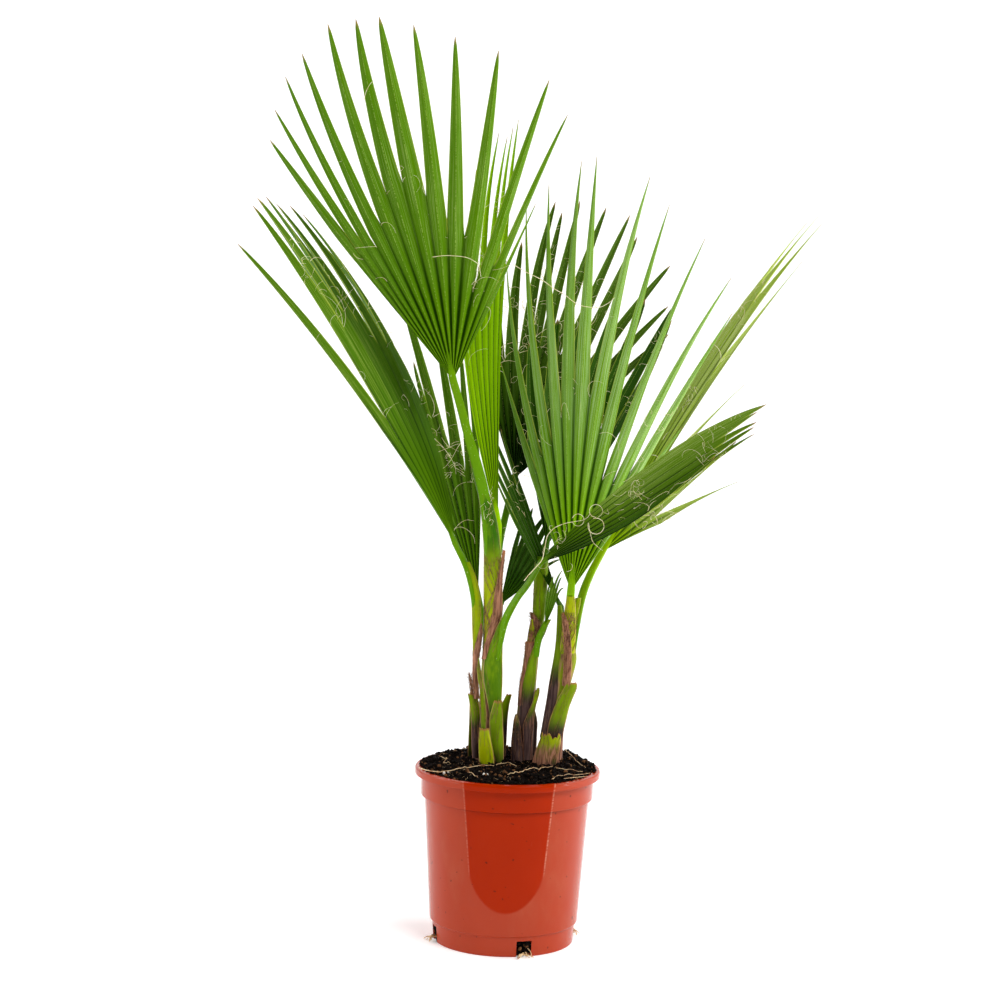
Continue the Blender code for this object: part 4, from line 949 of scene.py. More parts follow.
TUFTS = [
    ((-42.2, -4.8, 695.2), (3, 26), 34, 9),
    ((-48.8, -66.9, 674.6), (4, 6), 10, 9),
    ((-26.5, -4.1, 745.6), (2.5, 30), 40, 6),
    ((-26.4, -17.1, 451.2), (4, 22), 26, 8),
    ((-4.1, 111.6, 643.5), (14, 12), 22, 16),
    ((24.4, 129.6, 725.2), (16, 20), 18, 13),
    ((144.2, 121.8, 612.5), (12, 16), 20, 14),
    ((137.4, -31.3, 544.7), (13, 18), 34, 14),
    ((120, -124.7, 466), (20, 20), 36, 15),
    ((254, 111, 680.1), (8, 10), 12, 10),
    ((180.3, 81.9, 559.6), (16, 14), 18, 13),
    ((-66.6, 82.2, 477), (14, 18), 22, 14),
    ((-119.5, 0.3, 553.8), (22, 24), 16, 10),
    ((-216.6, -82.3, 682.7), (22, 26), 14, 12),
    ((44.9, -81.6, 420), (22, 16), 18, 14),
    ((-3.1, 23.2, 452.9), (12, 24), 14, 12),
]

LAID_SLIMNESS = 0.72
TUFT_CURLS, TUFT_RADII = (60, 320), (0.00012, 0.00026)

tuft_draw = random.Random(17)
strands = []
for radius, places in LAID_THREADS:
    route = smooth_route(table(3, places) * MILLIMETRE, 6)
    strands.append(hair(route, radius * MILLIMETRE * LAID_SLIMNESS, sides=5, taper=0.45))
for middle, (wide, high), count, length in TUFTS:
    for _ in range(count):
        aside, behind = tuft_draw.gauss(0, 0.6) * wide, tuft_draw.uniform(0, 8)
        spread = (aside, behind, tuft_draw.gauss(0, 0.6) * high)
        start = (np.array(middle) + spread) * MILLIMETRE
        way = unit(np.array([tuft_draw.gauss(0, reach) for reach in (1, 0.3, 1)]))
        reach = length * MILLIMETRE * tuft_draw.uniform(0.5, 1.6)
        route = curl_route(start, way, reach, tuft_draw.uniform(*TUFT_CURLS), tuft_draw)
        strands.append(hair(route, tuft_draw.uniform(*TUFT_RADII)))
add_piece("long_threads", join(strands), CREAM)

# %% [markdown]
# ## The pot
#
# A nursery pot is blown or moulded in one thin skin: a flared body, a taller collar that stops
# pots from jamming when they are stacked, a rolled lip and a narrower foot with drain holes.
# Turning one profile round the axis makes it all. The profile's corners are rounded, because the
# bright lines on moulded plastic are reflections in its rounded edges, and two thin lines of
# painted highlight are laid down the front as well. A painted reflection, mixed with dust,
# lightens the plastic on the sides, the bottom and the back, and leaves a U of deeper colour at
# the front.

# %% The pot's profile
POT_HEIGHT = 0.180
POT_RIM_RADIUS = 0.095
WALL = 0.0014
LIP_HEIGHT = 0.0075
COLLAR_RADIUS = 0.0886
COLLAR_BOTTOM = 0.1506
BODY_TOP_RADIUS = 0.0845
BODY_BOTTOM_RADIUS = 0.0762
FOOT_HEIGHT = 0.0208
FOOT_TOP_RADIUS = 0.0736
FOOT_BOTTOM_RADIUS = 0.0722
FLOOR_THICKNESS = 0.0022
DRAIN_WIDTH = 0.0158
DRAIN_DEPTH = 0.015
DRAIN_HEIGHT = 0.0165
DRAIN_ANGLES = (-165.0, -73.0, 17.0, 107.0)
POT_SIDES = 176
POT_CREASE = 34.0
ARC_STEPS = 4


def rounded(corners):
    """A profile whose corners, each with its radius, become arcs."""
    points = []
    for k, (x, z, radius) in enumerate(corners):
        here = np.array((x, z))
        if radius == 0 or k in (0, len(corners) - 1):
            points.append(here)
            continue
        before = np.array(corners[k - 1][:2])
        after = np.array(corners[k + 1][:2])
        start = here + unit(before - here) * radius
        end = here + unit(after - here) * radius
        for t in np.linspace(0, 1, ARC_STEPS + 1):
            points.append(start * (1 - t) ** 2 + here * 2 * t * (1 - t) + end * t**2)
    return points


def pot_profile():
    """The outside from the middle of the underside up to the lip, and the inside back down."""
    rim, collar, body = POT_RIM_RADIUS, COLLAR_RADIUS, BODY_TOP_RADIUS
    lip = POT_HEIGHT - LIP_HEIGHT
    return rounded([
        (0.0, 0.0, 0), (0.058, 0.0, 0.0004), (0.0590, 0.0008, 0.0004), (0.0625, 0.0008, 0.0004),
        (0.0635, 0.0, 0.0004), (FOOT_BOTTOM_RADIUS, 0.0, 0.0014),
        (FOOT_TOP_RADIUS, FOOT_HEIGHT - 0.0004, 0.0007),
        (BODY_BOTTOM_RADIUS, FOOT_HEIGHT + 0.0012, 0.0009),
        (body, COLLAR_BOTTOM - 0.0004, 0.0006), (collar - 0.0003, COLLAR_BOTTOM, 0.0010),
        (collar, POT_HEIGHT - 0.0034, 0.0012), (rim - 0.0016, lip + 0.0022, 0.0006),
        (rim - 0.0012, lip, 0.0005), (rim, lip + 0.0002, 0.0006), (rim, POT_HEIGHT, 0.0022),
        (collar - WALL, POT_HEIGHT, 0.0016), (collar - WALL, COLLAR_BOTTOM + 0.0024, 0.001),
        (body - WALL, COLLAR_BOTTOM - 0.0012, 0.001),
        (BODY_BOTTOM_RADIUS - WALL, FOOT_HEIGHT + 0.0024, 0.001),
        (FOOT_TOP_RADIUS - WALL, FOOT_HEIGHT - 0.0006, 0.001),
        (FOOT_BOTTOM_RADIUS - WALL, FLOOR_THICKNESS, 0.0008), (0.0, FLOOR_THICKNESS, 0),
    ])


# %% Turn the pot and cut its drain holes
def turned(profile, sides):
    angle = 2 * math.pi * np.arange(sides) / sides
    rings = [
        np.stack((r * np.cos(angle), r * np.sin(angle), np.full(sides, z)), axis=-1)
        for r, z in profile[1:-1]
    ]
    points = np.vstack(([(0.0, 0.0, profile[0][1])], *rings, [(0.0, 0.0, profile[-1][1])]))
    faces = skin((len(rings), sides), caps=False, first=1)
    last = len(points) - 1
    for i in range(sides):
        j = (i + 1) % sides
        faces.append((0, 1 + j, 1 + i))
        faces.append((last - sides + i, last - sides + j, last))
    return Part(points, faces)


def box_part(centre, across, out, size):
    """A closed box with its sides along two level ways and upright."""
    corners = []
    for z in (-1, 1):
        for a, b in ((-1, -1), (1, -1), (1, 1), (-1, 1)):
            corners.append(centre + across * a * size[0] / 2 + out * b * size[1] / 2)
            corners[-1] = corners[-1] + np.array((0, 0, z * size[2] / 2))
    return Part(corners, skin((2, 4)))


def cut(mesh_object, part):
    """Cuts a part out of an object, and keeps the result as plain mesh."""
    cutter = put("cutter", new_mesh("cutter", part.points.tolist(), part.faces))
    modifier = mesh_object.modifiers.new("cut", "BOOLEAN")
    modifier.operation = "DIFFERENCE"
    modifier.object = cutter
    graph = bpy.context.evaluated_depsgraph_get()
    result = bpy.data.meshes.new_from_object(mesh_object.evaluated_get(graph))
    mesh_object.modifiers.remove(modifier)
    mesh_object.data = result
    bpy.data.objects.remove(cutter)
    return len(result.polygons)


# %% The pot's plastic
# The U of deeper colour that the painted reflection leaves at the front: its middle, its half
# width at the foot, how that widens with height, the height where its bottom starts to close and
# how far down it closes.
REFLECTION_U_MIDDLE = 0.0015
REFLECTION_U_FOOT = 0.030
REFLECTION_U_FLARE = 0.0886
REFLECTION_U_HEIGHT = 0.0895
REFLECTION_U_DEPTH = 0.0435

plastic = Shader("terracotta_plastic", IOR=1.45, Specular_IOR_Level=0.06, Coat_Roughness=0.10)
pot_x, pot_y, pot_z = plastic.parts(plastic.place())
below = (REFLECTION_U_HEIGHT - pot_z).most(0.0) * (1 / REFLECTION_U_DEPTH)
beside = (pot_x - REFLECTION_U_MIDDLE) * (pot_z * REFLECTION_U_FLARE + REFLECTION_U_FOOT) ** -1.0
behind = pot_y.rise(-0.02, 0.0)
smear = plastic.noise(plastic.place(1.0, 1.0, 0.5), 16.0, detail=5.0, roughness=0.6)
scratch = plastic.noise(plastic.place(1.0, 1.0, 6.0), 190.0, detail=3.0)
# Painted reflection: outside the front U and all over the back, the plastic is painted lighter,
# more where there is dust, and the same mask sets the coat.
painted_reflection = (beside * beside + below * below + (smear - 0.5) * 0.10).rise(0.92, 1.08).most(behind)
dust = smear.rise(0.50, 0.75) * 0.6 + scratch.rise(0.66, 0.78) * 0.4
orange = plastic.mix(smear.rise(0.3, 0.7), colour(162, 38, 0), colour(156, 35, 0))
orange = plastic.mix(painted_reflection * (0.065 + dust * 0.12), orange, colour(222, 156, 112))
# Painted highlights: two thin pale lines down the edges of the U, broken by scratches, stronger to
# the right.
highlight_line_mask = 1 - (beside.size() - 1.0).size().rise(0.0, 0.030)
highlight_line_mask = highlight_line_mask * pot_z.rise(0.080, 0.092) * (1 - behind)
painted_highlight_lines = highlight_line_mask * scratch.rise(0.34, 0.60) * (0.30 + pot_x * 2.6)
orange = plastic.mix(painted_highlight_lines, orange, colour(232, 168, 140))
speck = plastic.noise(plastic.place(), 210.0, detail=0.0).rise(0.822, 0.832)
orange = plastic.mix(speck * 0.7, orange, colour(60, 26, 14))
plastic.paint(Base_Color=orange, Coat_Weight=painted_reflection * 0.24 + 0.02, Roughness=0.20 + dust * 0.14)
plastic.bump(smear * 0.9, 0.0005, 0.18)

# %% Make the pot
DRAINS = []
for angle in np.radians(DRAIN_ANGLES):
    out = np.array((math.cos(angle), math.sin(angle), 0.0))
    DRAINS.append((out, np.array((-out[1], out[0], 0.0))))

shell = turned(pot_profile(), POT_SIDES)
pot = add_piece("pot_shell", shell, plastic.material, "pot", sharp=POT_CREASE)
for out, across in DRAINS:
    size = (DRAIN_WIDTH, DRAIN_DEPTH, 2 * DRAIN_HEIGHT)
    faces = cut(pot, box_part(out * FOOT_TOP_RADIUS, -across, out, size))
pot.data.shade_smooth()
pot.data.set_sharp_from_angle(angle=math.radians(POT_CREASE))
print("the pot has", faces, "faces after its drain holes")

# %% [markdown]
# ## Stems
#
# A young palm's stem is hardly a trunk: it is a bundle of leaf bases, each wrapped round the
# younger ones inside it. A base is green where it is alive, yellow where it is thin, purple
# black near the soil, and where it has died it is a brown net of fibres. Each base here is one
# curved plate. A row of its table has, in millimetres, the left and right margins, how far
# forward its middle stands and its height, and then how purple and how dry it is there. Inside
# the bases stands a plain core, whose rows are a place, half its width and half its depth.

# %% The leaf bases
LEAF_BASES = {
    "stem_left": [
        ("tall base", 0, 0.9, 88, """
        -27.8 -11.7 0.5 308 0.25 0.35  -29.1 -10.5 -0.5 337.2 0.05 0.25
        -29.8 -10.9 -1.5 362.9 0 0.12  -30.2 -11.9 -3 388.6 0 0.05  -31.4 -14.3 -7 412 0 0
        -33.9 -18.3 -11.2 435.3 0 0  -36.3 -23 -15 452.9 0 0  -40.2 -29.3 -19 469.4 0 0
        -44.4 -35.1 -23.5 484.8 0 0  -47.6 -41 -28 499.2 0 0"""),
        ("spear base", 1.5, 0.2, 60, """
        -29.9 -24 -1.6 291 0.5 1  -27.2 -20.9 -2.2 304.9 0.4 1  -24.2 -16.2 -2.8 318.8 0.3 1
        -21.5 -12.4 -3.4 330.9 0.3 1  -20 -9.6 -3.8 339.6 0.3 1  -19 -10 -4 356.6 0.2 1
        -16 -10.3 -4.2 372 0.2 1  -13 -9.6 -4.2 389.1 0.2 1  -11.2 -8.3 -4 404.4 0.2 1"""),
        ("arching base", 0, 0.1, 72, """
        -19.5 -8 -3 221.2 0.7 0.1  -21.3 -7.9 -3.4 238.5 0.4 0.1  -24.2 -7.8 -3.8 252.3 0.15 0
        -26.8 -7.6 -4 264.3 0.05 0  -28.1 -7.6 -4.2 276.3 0 0  -27.4 -7.8 -4.6 288.4 0 0
        -24.3 -8.1 -5.2 298.8 0 0  -20.5 -8.2 -6 309.2 0 0  -17.1 -7.3 -7 319.6 0 0
        -13.6 -4.8 -8.5 328.5 0 0  -8.4 -1.7 -10 335.6 0 0"""),
        ("right stub", 2.4, 0.3, 62, """
        -12.5 -4.4 -4.2 184.6 0.6 0.3  -16.1 -4.4 -5.2 195.9 0.35 0.1
        -19 -4.9 -6.4 209.9 0.1 0  -19.8 -5.8 -7.6 222.1 0 0  -19.4 -6.4 -8.8 232.7 0 0
        -17.2 -7.2 -9.8 243.2 0 0  -15.5 -7.2 -10.5 250.5 0 0.1"""),
        ("front stub", 1.6, 0.95, 58, """
        -28.5 -13.9 -8 179.8 0.4 0.3  -29.6 -13.8 -9 187.8 0.2 0.1
        -30.3 -15.4 -10.5 198.4 0.05 0  -30.6 -18.1 -11.8 210.6 0 0
        -30.7 -20.3 -12.5 221 0 0.05"""),
        ("pointed base", 0, 0.3, 55, """
        -28.4 -23.3 -6.6 219.9 0.4 0.3  -29.2 -23 -6.6 231.9 0.3 0.2
        -30.2 -24.3 -6.2 243.8 0.25 0.1  -31.1 -26.7 -5.2 260.7 0.2 0
        -33.1 -28.3 -4.2 272.5 0.15 0  -34.2 -30.5 -3 283.4 0.15 0.1
        -33.1 -32.3 -2 292.3 0.1 0.2"""),
        ("left stub", 1.2, 0.35, 66, """
        -36.3 -29.8 1.2 187.1 1 0.2  -37.7 -30 1.4 200.8 1 0  -38.4 -30.3 1.8 216.3 0.75 0
        -39.3 -30 2.4 230.8 0.35 0  -40.8 -31 3 241 0.1 0  -42 -34.5 3.6 247.7 0 0
        -43.4 -37.4 4 253.6 0 0.3"""),
        ("old base", 1, 0.3, 70, """
        -36.4 -30.8 1.4 249.1 0.8 0.6  -38 -32 1.4 262.8 0.6 0.6
        -38.9 -32.9 1.6 276.5 0.4 0.75  -38.7 -32.3 1.8 290.2 0.3 0.8
        -37.9 -30.3 2.2 303.9 0.25 0.8  -35.4 -29.3 2.6 316.8 0.2 0.9  -32.6 -30.4 3 327 0.2 1"""),
        ("dry strip", 0.8, 0.2, 40, """
        -38.5 -36.1 5.2 243.2 0.4 1  -39.9 -37.5 5.4 255.1 0.2 1  -41.9 -39.7 5.8 267.1 0.1 1
        -43 -41.8 6 275.6 0.1 1"""),
        ("low base", 0, 0.7, 70, """
        -39 -36.4 3.6 293.3 0.4 0.5  -39.3 -34.6 3 306.3 0.1 0.3  -40 -32.3 2.4 317.5 0 0.1
        -40.7 -31.1 1.8 327.9 0 0.05  -41.3 -31.5 1.2 338.2 0 0  -42.4 -32.8 3 355 0 0
        -46.4 -37.7 1.8 374.9 0 0  -51.2 -44.4 0.6 390.4 0 0"""),
    ],
    "stem_middle": [
        ("rear base", 0, 0.3, 88, """
        14.1 26.4 11.4 283.3 0.5 0.5  16 27.5 11.6 302.3 0.35 0.5
        18.6 30.5 11.8 317.8 0.15 0.4  20.9 33.5 12 331.6 0.05 0.2
        21.7 34.8 12.4 345.3 0 0.05  21.6 35.7 13 362.4 0 0  21.3 36.4 14 378.5 0 0
        22.5 36 16 396 0 0"""),
        ("brown tip", 0.6, 0.2, 48, """
        25.5 29.2 8.8 313.2 0.3 1  24.3 30 9 320.9 0.3 1  21.7 29.5 9.2 327.7 0.25 1
        19.3 25.2 9.6 334.4 0.2 1  19 20 10 339.6 0.2 1"""),
        ("netted base", 0, 0.9, 60, """
        15.6 22.4 8.4 302.7 0.1 0.5  16.7 24.2 8.4 311.3 0 0.4  17.8 24.2 8.6 321.6 0 0.3
        19.5 22.2 8.8 331.9 0 0.3"""),
        ("brown base", 1, 0.2, 66, """
        8.5 13.6 8.2 242.3 0.9 0.6  9.4 13.5 8 256.1 0.8 0.7  10.8 14.8 7.8 270 0.6 0.8
        13.1 18.7 7.6 283.8 0.4 0.9  14 21.9 7.6 297.7 0.3 1  14.4 24.6 7.8 308.8 0.2 1"""),
        ("small base", 0, 0.3, 70, """
        10.9 22.3 6.4 218.6 1 0.1  10.8 23 6.2 234.2 0.95 0.05  11.2 24.8 6 248 0.75 0
        11.7 26 5.8 260.1 0.45 0  13.3 26.9 5.6 270.5 0.2 0  16.4 27.3 5.4 284.4 0.05 0
        20.1 28 5.2 294.8 0 0  23.6 30.1 4.8 305.2 0 0  26.2 32.3 4.4 312.2 0 0
        28.7 35.1 3.8 319.2 0 0  31.5 37.2 3 326.3 0 0  35.3 40.4 2 333.4 0 0"""),
        ("right tip", 0, 0.4, 60, """
        16.5 24 0.8 186.9 1 0.2  15.6 24.4 1 207.6 0.85 0.2  14.7 25.2 1.4 221.3 0.75 0.3
        17.7 26.2 2 232.5 0.6 0.3  22 27.5 2.8 242.8 0.35 0.2  24.2 29.3 3.6 249.6 0.1 0.1
        25.9 30.9 4.8 256.3 0 0.2  29 30.5 6.5 261.7 0 0.5"""),
        ("left tip", 0, 0.3, 62, """
        3.4 17.3 2.4 181.1 1 0.2  3 16 2.8 194 0.9 0.2  3.1 14 3.4 207.7 0.8 0.3
        4 12.1 4.2 220.5 0.7 0.3  5 10.2 5 228.1 0.5 0.4  6.7 7.9 6 233.9 0.4 0.5"""),
    ],
    "stem_right": [
        ("inner base", 0, 0.3, 84, """
        32.2 47.2 3 209.5 1 0.2  34.8 48.4 2.6 226.9 1 0.2  37.6 52.1 2.4 244.3 0.95 0.2
        39.7 55 2.4 261.5 0.85 0.15  42.1 56.3 2.6 278.8 0.55 0.1  44.3 55.5 3 295.9 0.2 0.05
        45.8 54.6 3.8 312.9 0.05 0  46.1 53 4.8 333.3 0 0  46.2 50.4 6 347.6 0 0"""),
        ("brown base", 1.2, 0.2, 56, """
        53.3 61.7 -2 265.7 0.4 1  54 62.6 -3.8 279.6 0.3 1  54.3 62.5 -5 293.4 0.2 1
        54 61.4 -6.6 307.2 0.15 1  52.9 59.5 -9.8 320.8 0.1 1  51.2 56.8 -15 334.4 0.1 1
        50.7 53.2 -19 343.7 0.1 1"""),
        ("front base", 0, 0.95, 60, """
        50 66.2 0.2 298 0.2 0.2  50.8 66 -3 313 0.05 0.3  51.4 65.6 -9.2 327 0 0.3
        52.3 64.8 -16.6 340 0 0.15  53.6 64 -24 352 0 0  55 62.8 -30.4 362 0 0"""),
        ("far base", 0, 0.7, 66, """
        61 64 4 289.2 0.2 0.6  59.7 64.6 4.2 302.9 0.1 0.4  58.9 66.1 4.6 316.6 0 0.25
        59.7 67.2 5.2 330.2 0 0.1  61.9 69 6 343.8 0 0  64.6 70.4 7 355.7 0 0"""),
        ("green stub", 3.2, 0.35, 60, """
        38.6 55.8 -2.8 208.3 0.9 0.3  40 57.1 -3.6 219.7 0.65 0.2
        42.3 59.3 -4.6 231.1 0.3 0.05  46 61.4 -5.8 242.6 0.05 0  49.6 64.5 -7 253.2 0 0
        54.5 67.7 -8 262.9 0 0  57.7 68.5 -8.5 269.4 0 0.3"""),
        ("front stub", 5.5, 0.75, 58, """
        25 50.1 -8 183.2 0.85 0.5  26 51.1 -8.8 189.4 0.7 0.52  28.6 52.8 -9.8 200 0.4 0.5
        31.7 53.8 -10.8 209.7 0.15 0.32  33.4 53.7 -11.2 215.9 0.05 0.3"""),
    ],
}
CORES = {
    "stem_left": """
        -20.5 13 176 13.6 12.6  -20.8 12.8 205 12 11  -20.8 12.5 246 10.4 9.6
        -19.8 11.8 300 9.4 8.8  -20 10.8 345 9.2 8.8  -20.3 10.5 381 9 8.4
        -20.3 10.5 389 6.5 6""",
    "stem_middle": """
        15.5 20.5 176 10.4 9.8  16.5 20.2 215 9.6 8.8  18.8 20 260 8.4 7.8
        22.2 20.2 300 7.2 6.8  24 20.5 318 5 4.8""",
    "stem_right": """
        45 13 176 12 10.8  46.5 12.5 215 10.4 9.6  52 10.8 260 9.4 8.6  57.5 8.8 290 10.2 8.8
        58.5 8 303 8 7""",
}
for name, bases in LEAF_BASES.items():
    LEAF_BASES[name] = [(*settings, table(6, rows)) for *settings, rows in bases]
print(sum(len(bases) for bases in LEAF_BASES.values()), "leaf bases")

# %% Build a leaf base
BASE_COLUMNS = 15
BASE_THICKNESS = 0.0011
BASE_WOBBLE = 0.0005
WOBBLE_SCALE = (90, 90, 35)
WOBBLE_SHIFTS = (0.0, 31.7, 67.3)


def wobble(spot):
    """Three smooth random values at a place; the same ones in each run."""
    return np.array([noise.noise(spot + Vector((shift, 0, 0))) for shift in WOBBLE_SHIFTS])


def leaf_base(torn, yellow, wrap, rows, draw, turn=0.0, origin=(0.0, 0.0)):
    """A plate wrapped round a stem; turn swings it round the stem's own axis, in degrees."""
    left, right, front, z, purple, dry = smooth_route(rows, 5).T
    u = np.linspace(-1, 1, BASE_COLUMNS)
    reach = math.radians(wrap)
    radius = (right - left) / 2 / math.sin(reach)
    angle = u * reach
    across = ((left + right) / 2)[:, None] + radius[:, None] * np.sin(angle)
    depth = front[:, None] + radius[:, None] * (1 - np.cos(angle))
    share = np.linspace(0, 1, len(z))[:, None]
    teeth = np.array([draw.uniform(-1.0, 0.5) for _ in u])
    height = z[:, None] + torn * teeth * share**6
    points = np.stack((across, depth, height), axis=-1) * MILLIMETRE
    inward = np.stack(np.broadcast_arrays(-np.sin(angle), np.cos(angle), 0.0), axis=-1)
    seed = draw.uniform(0, 50)
    for row in range(len(z)):
        for i in range(BASE_COLUMNS):
            spot = Vector(points[row, i] * WOBBLE_SCALE + seed)
            points[row, i] += wobble(spot) * BASE_WOBBLE * (1, 1, 0.2)
    cosine, sine = math.cos(math.radians(turn)), math.sin(math.radians(turn))
    spin = np.array(((cosine, sine, 0), (-sine, cosine, 0), (0, 0, 1)))
    centre = np.array((*origin, 0.0))
    points = (points - centre) @ spin + centre
    inward = inward @ spin
    thin = BASE_THICKNESS * (1 - 0.6 * u**2)[:, None] * inward
    values = {"across": u, "yellow": yellow, "purple": purple[:, None], "dry": dry[:, None]}
    values["torn"] = share**8 * min(torn, 1.0)
    return points, plate(points, points + thin, **values)


# %% The material of leaf bases
base = Shader("leaf_base", IOR=1.40, Specular_IOR_Level=0.10)
yellowing, purpling = base.stored("yellow"), base.stored("purple")
drying, tearing = base.stored("dry"), base.stored("torn")
strand = base.noise(base.place(1.0, 1.0, 0.07), 620.0, detail=3.0, roughness=0.6)
cloud = base.noise(base.place(1.0, 1.0, 0.35), 110.0, detail=4.0, roughness=0.6)
_, _, height = base.parts(base.place())
low_yellow = yellowing * (1 - height.rise(0.36, 0.42))
living = base.mix(low_yellow, colour(52, 102, 0), colour(168, 178, 4))
living = base.mix(cloud.rise(0.44, 0.66) * 0.55, living, colour(122, 158, 8))
living = base.mix(strand.rise(0.45, 0.7) * 0.10, living, colour(150, 180, 10))
dusk = (purpling + (cloud - 0.5) * 0.5).rise(0.10, 0.85)
living = base.mix(dusk, living, colour(44, 27, 30))
bloom = (purpling * strand).rise(0.25, 0.6)
living = base.mix(bloom * 0.35, living, colour(132, 104, 94))
dead = base.mix(strand.rise(0.3, 0.65), colour(86, 50, 36), colour(178, 126, 98))
dead = base.mix(cloud.rise(0.5, 0.75) * 0.5, dead, colour(74, 48, 40))
died = (drying + (cloud - 0.5) * 0.7 + (strand - 0.5) * 0.4).rise(0.35, 0.62)
husk = base.mix(died, living, dead)
margin = (base.stored("across").size() + (cloud - 0.5) * 0.16).rise(0.80, 0.93)
straw = base.mix(purpling.rise(0.1, 0.6), colour(196, 162, 92), colour(164, 112, 88))
husk = base.mix(margin * 0.75, husk, straw)
ragged = (tearing + (cloud - 0.5) * 0.8).rise(0.55, 0.95)
husk = base.mix(ragged * 0.8, husk, colour(162, 104, 62))
base.paint(Base_Color=husk, Roughness=0.36 + died * 0.34 + dusk * 0.1)
base.bump(strand * 0.5 + cloud * 0.4, 0.0005, 0.6)

# %% [markdown]
# ## Fibres on the bases
#
# Where a leaf base dies its soft tissue goes first and leaves the fibres: a brown net laid over
# the next green base, and loose ends along the margins. They are threads that follow the plate
# that they grew in, laid just outside it.

# %% Fibres that follow a base
FIBRE = mottled("brown_fibre", 0.7, 300.0, (84, 46, 22), (160, 112, 68), low=0.3)
FIBRE_LIFTS, FIBRE_RADII = (0.0001, 0.0004), (0.00010, 0.00020)


def on_grid(grid, row, column):
    """A point between the points of a grid, from its row and column as fractions."""
    row = min(max(row, 0.0), len(grid) - 1.001)
    column = min(max(column, 0.0), grid.shape[1] - 1.001)
    i, j = int(row), int(column)
    a, b = row - i, column - j
    low = grid[i, j] * (1 - b) + grid[i, j + 1] * b
    high = grid[i + 1, j] * (1 - b) + grid[i + 1, j + 1] * b
    return low * (1 - a) + high * a


def laid_fibres(grid, count, slant, draw, loose=0.0, heavy=1.0):
    """Threads along a plate; slant is how many columns one crosses in a row."""
    strands = []
    rows, columns = grid.shape[:2]
    for _ in range(count):
        row, column = draw.uniform(0, rows * 0.9), draw.uniform(0, columns - 1)
        step = draw.uniform(0.5, 0.9)
        lean = slant * draw.choice((-1, 1)) * draw.uniform(0.6, 1.2) + draw.gauss(0, 0.1)
        level = np.array((0.0, -draw.uniform(*FIBRE_LIFTS), 0.0))
        route = []
        for k in range(draw.randint(8, 16)):
            if row > rows - 1 or not 0 <= column <= columns - 1:
                break
            point = on_grid(grid, row, column)
            centre = on_grid(grid, row, columns / 2) * (1, 1, 0) + point * (0, 0, 1)
            out = point - centre
            out = out / (np.linalg.norm(out) + 1e-6)
            route.append(point + level + out * loose * draw.uniform(0, 0.0004) * k)
            row += step
            column += lean * step
        if len(route) > 3:
            strands.append(hair(np.array(route), heavy * draw.uniform(*FIBRE_RADII)))
    return strands


# %% Make the stems
CORE_SIDES = 20
REAR_COPIES = {
    "stem_left": [(6, 152.0), (3, 205.0)],
    "stem_middle": [(5, 150.0)],
    "stem_right": [],
}
NETS = {"tall base": 0.40, "netted base": 0.7, "front base": 0.7}
stem_draw = random.Random(11)
for name, bases in LEAF_BASES.items():
    core = table(5, CORES[name]) * MILLIMETRE
    route = smooth_route(core, 6)
    levels = np.clip((0.30 - route[:, 2]) / 0.10, 0, 1)
    values = {"purple": np.repeat(levels, CORE_SIDES), "dry": 0.45, "yellow": 0.5}
    inner = tube(route[:, :3], route[:, 3], route[:, 4], RIGHT, CORE_SIDES, **values)
    parts, strands = [inner], []
    for label, torn, yellow, wrap, rows in bases:
        grid, part = leaf_base(torn, yellow, wrap, rows, stem_draw)
        parts.append(part)
        dryness = float(np.mean([row[5] for row in rows]))
        strands += laid_fibres(grid, int(16 + 46 * dryness), 0.16, stem_draw, loose=dryness)
        if label in NETS:
            net = grid[: int(len(grid) * NETS[label])]
            strands += laid_fibres(net, 54, 1.1, stem_draw, heavy=1.9)
    for index, turn in REAR_COPIES[name]:
        _, part = leaf_base(*bases[index][1:], stem_draw, turn, core[2][:2])
        parts.append(part)
    add_piece(name + "_bases", join(parts), base.material, name, sharp=50.0)
    add_piece(name + "_fibres", join(strands), FIBRE)

# %% [markdown]
# ## Soil
#
# Peat is a heap of dark crumbs with threads of root and a few light grains of perlite. A smooth
# disc with bump looks like felt, so the disc gets real relief from noise and over it lie crumbs,
# each a jittered twenty-sided solid sunk a little into the surface.

# %% The soil's surface
SOIL_TOP = 0.1842
SOIL_SINK = 0.0008
SOIL_UNDERSIDE = 0.150
SOIL_FLAT_RADIUS = 0.058
SOIL_DROP = 0.0042
SOIL_REAR = 0.0030
SOIL_RADIUS = POT_RIM_RADIUS - 0.0085
SOIL_RINGS = 46
SOIL_SIDES = 150
RELIEF = ((0.0016, 60), (0.0013, 170), (0.0007, 420))
HEAP_PLACE = (0.062, 0.040)
HEAP_HEIGHT = 0.0040
HEAP_SPREAD = 0.0007


def polar(reach, angle):
    return reach * math.cos(angle), reach * math.sin(angle)


def soil_height(x, y):
    """The height of the soil at a place, with its crumbly relief."""
    reach = math.hypot(x, y)
    edge = max(0.0, (reach - SOIL_FLAT_RADIUS) / (SOIL_RADIUS - SOIL_FLAT_RADIUS))
    spot = Vector((x, y, 0.37))
    relief = sum(height * noise.noise(spot * scale) for height, scale in RELIEF)
    away = (x - HEAP_PLACE[0]) ** 2 + (y - HEAP_PLACE[1]) ** 2
    heap = HEAP_HEIGHT * math.exp(-away / HEAP_SPREAD)
    rear = SOIL_REAR * min(max(y / SOIL_RADIUS, 0.0), 1.0)
    return SOIL_TOP - SOIL_SINK - SOIL_DROP * edge**1.6 + rear + relief * 1.5 + heap


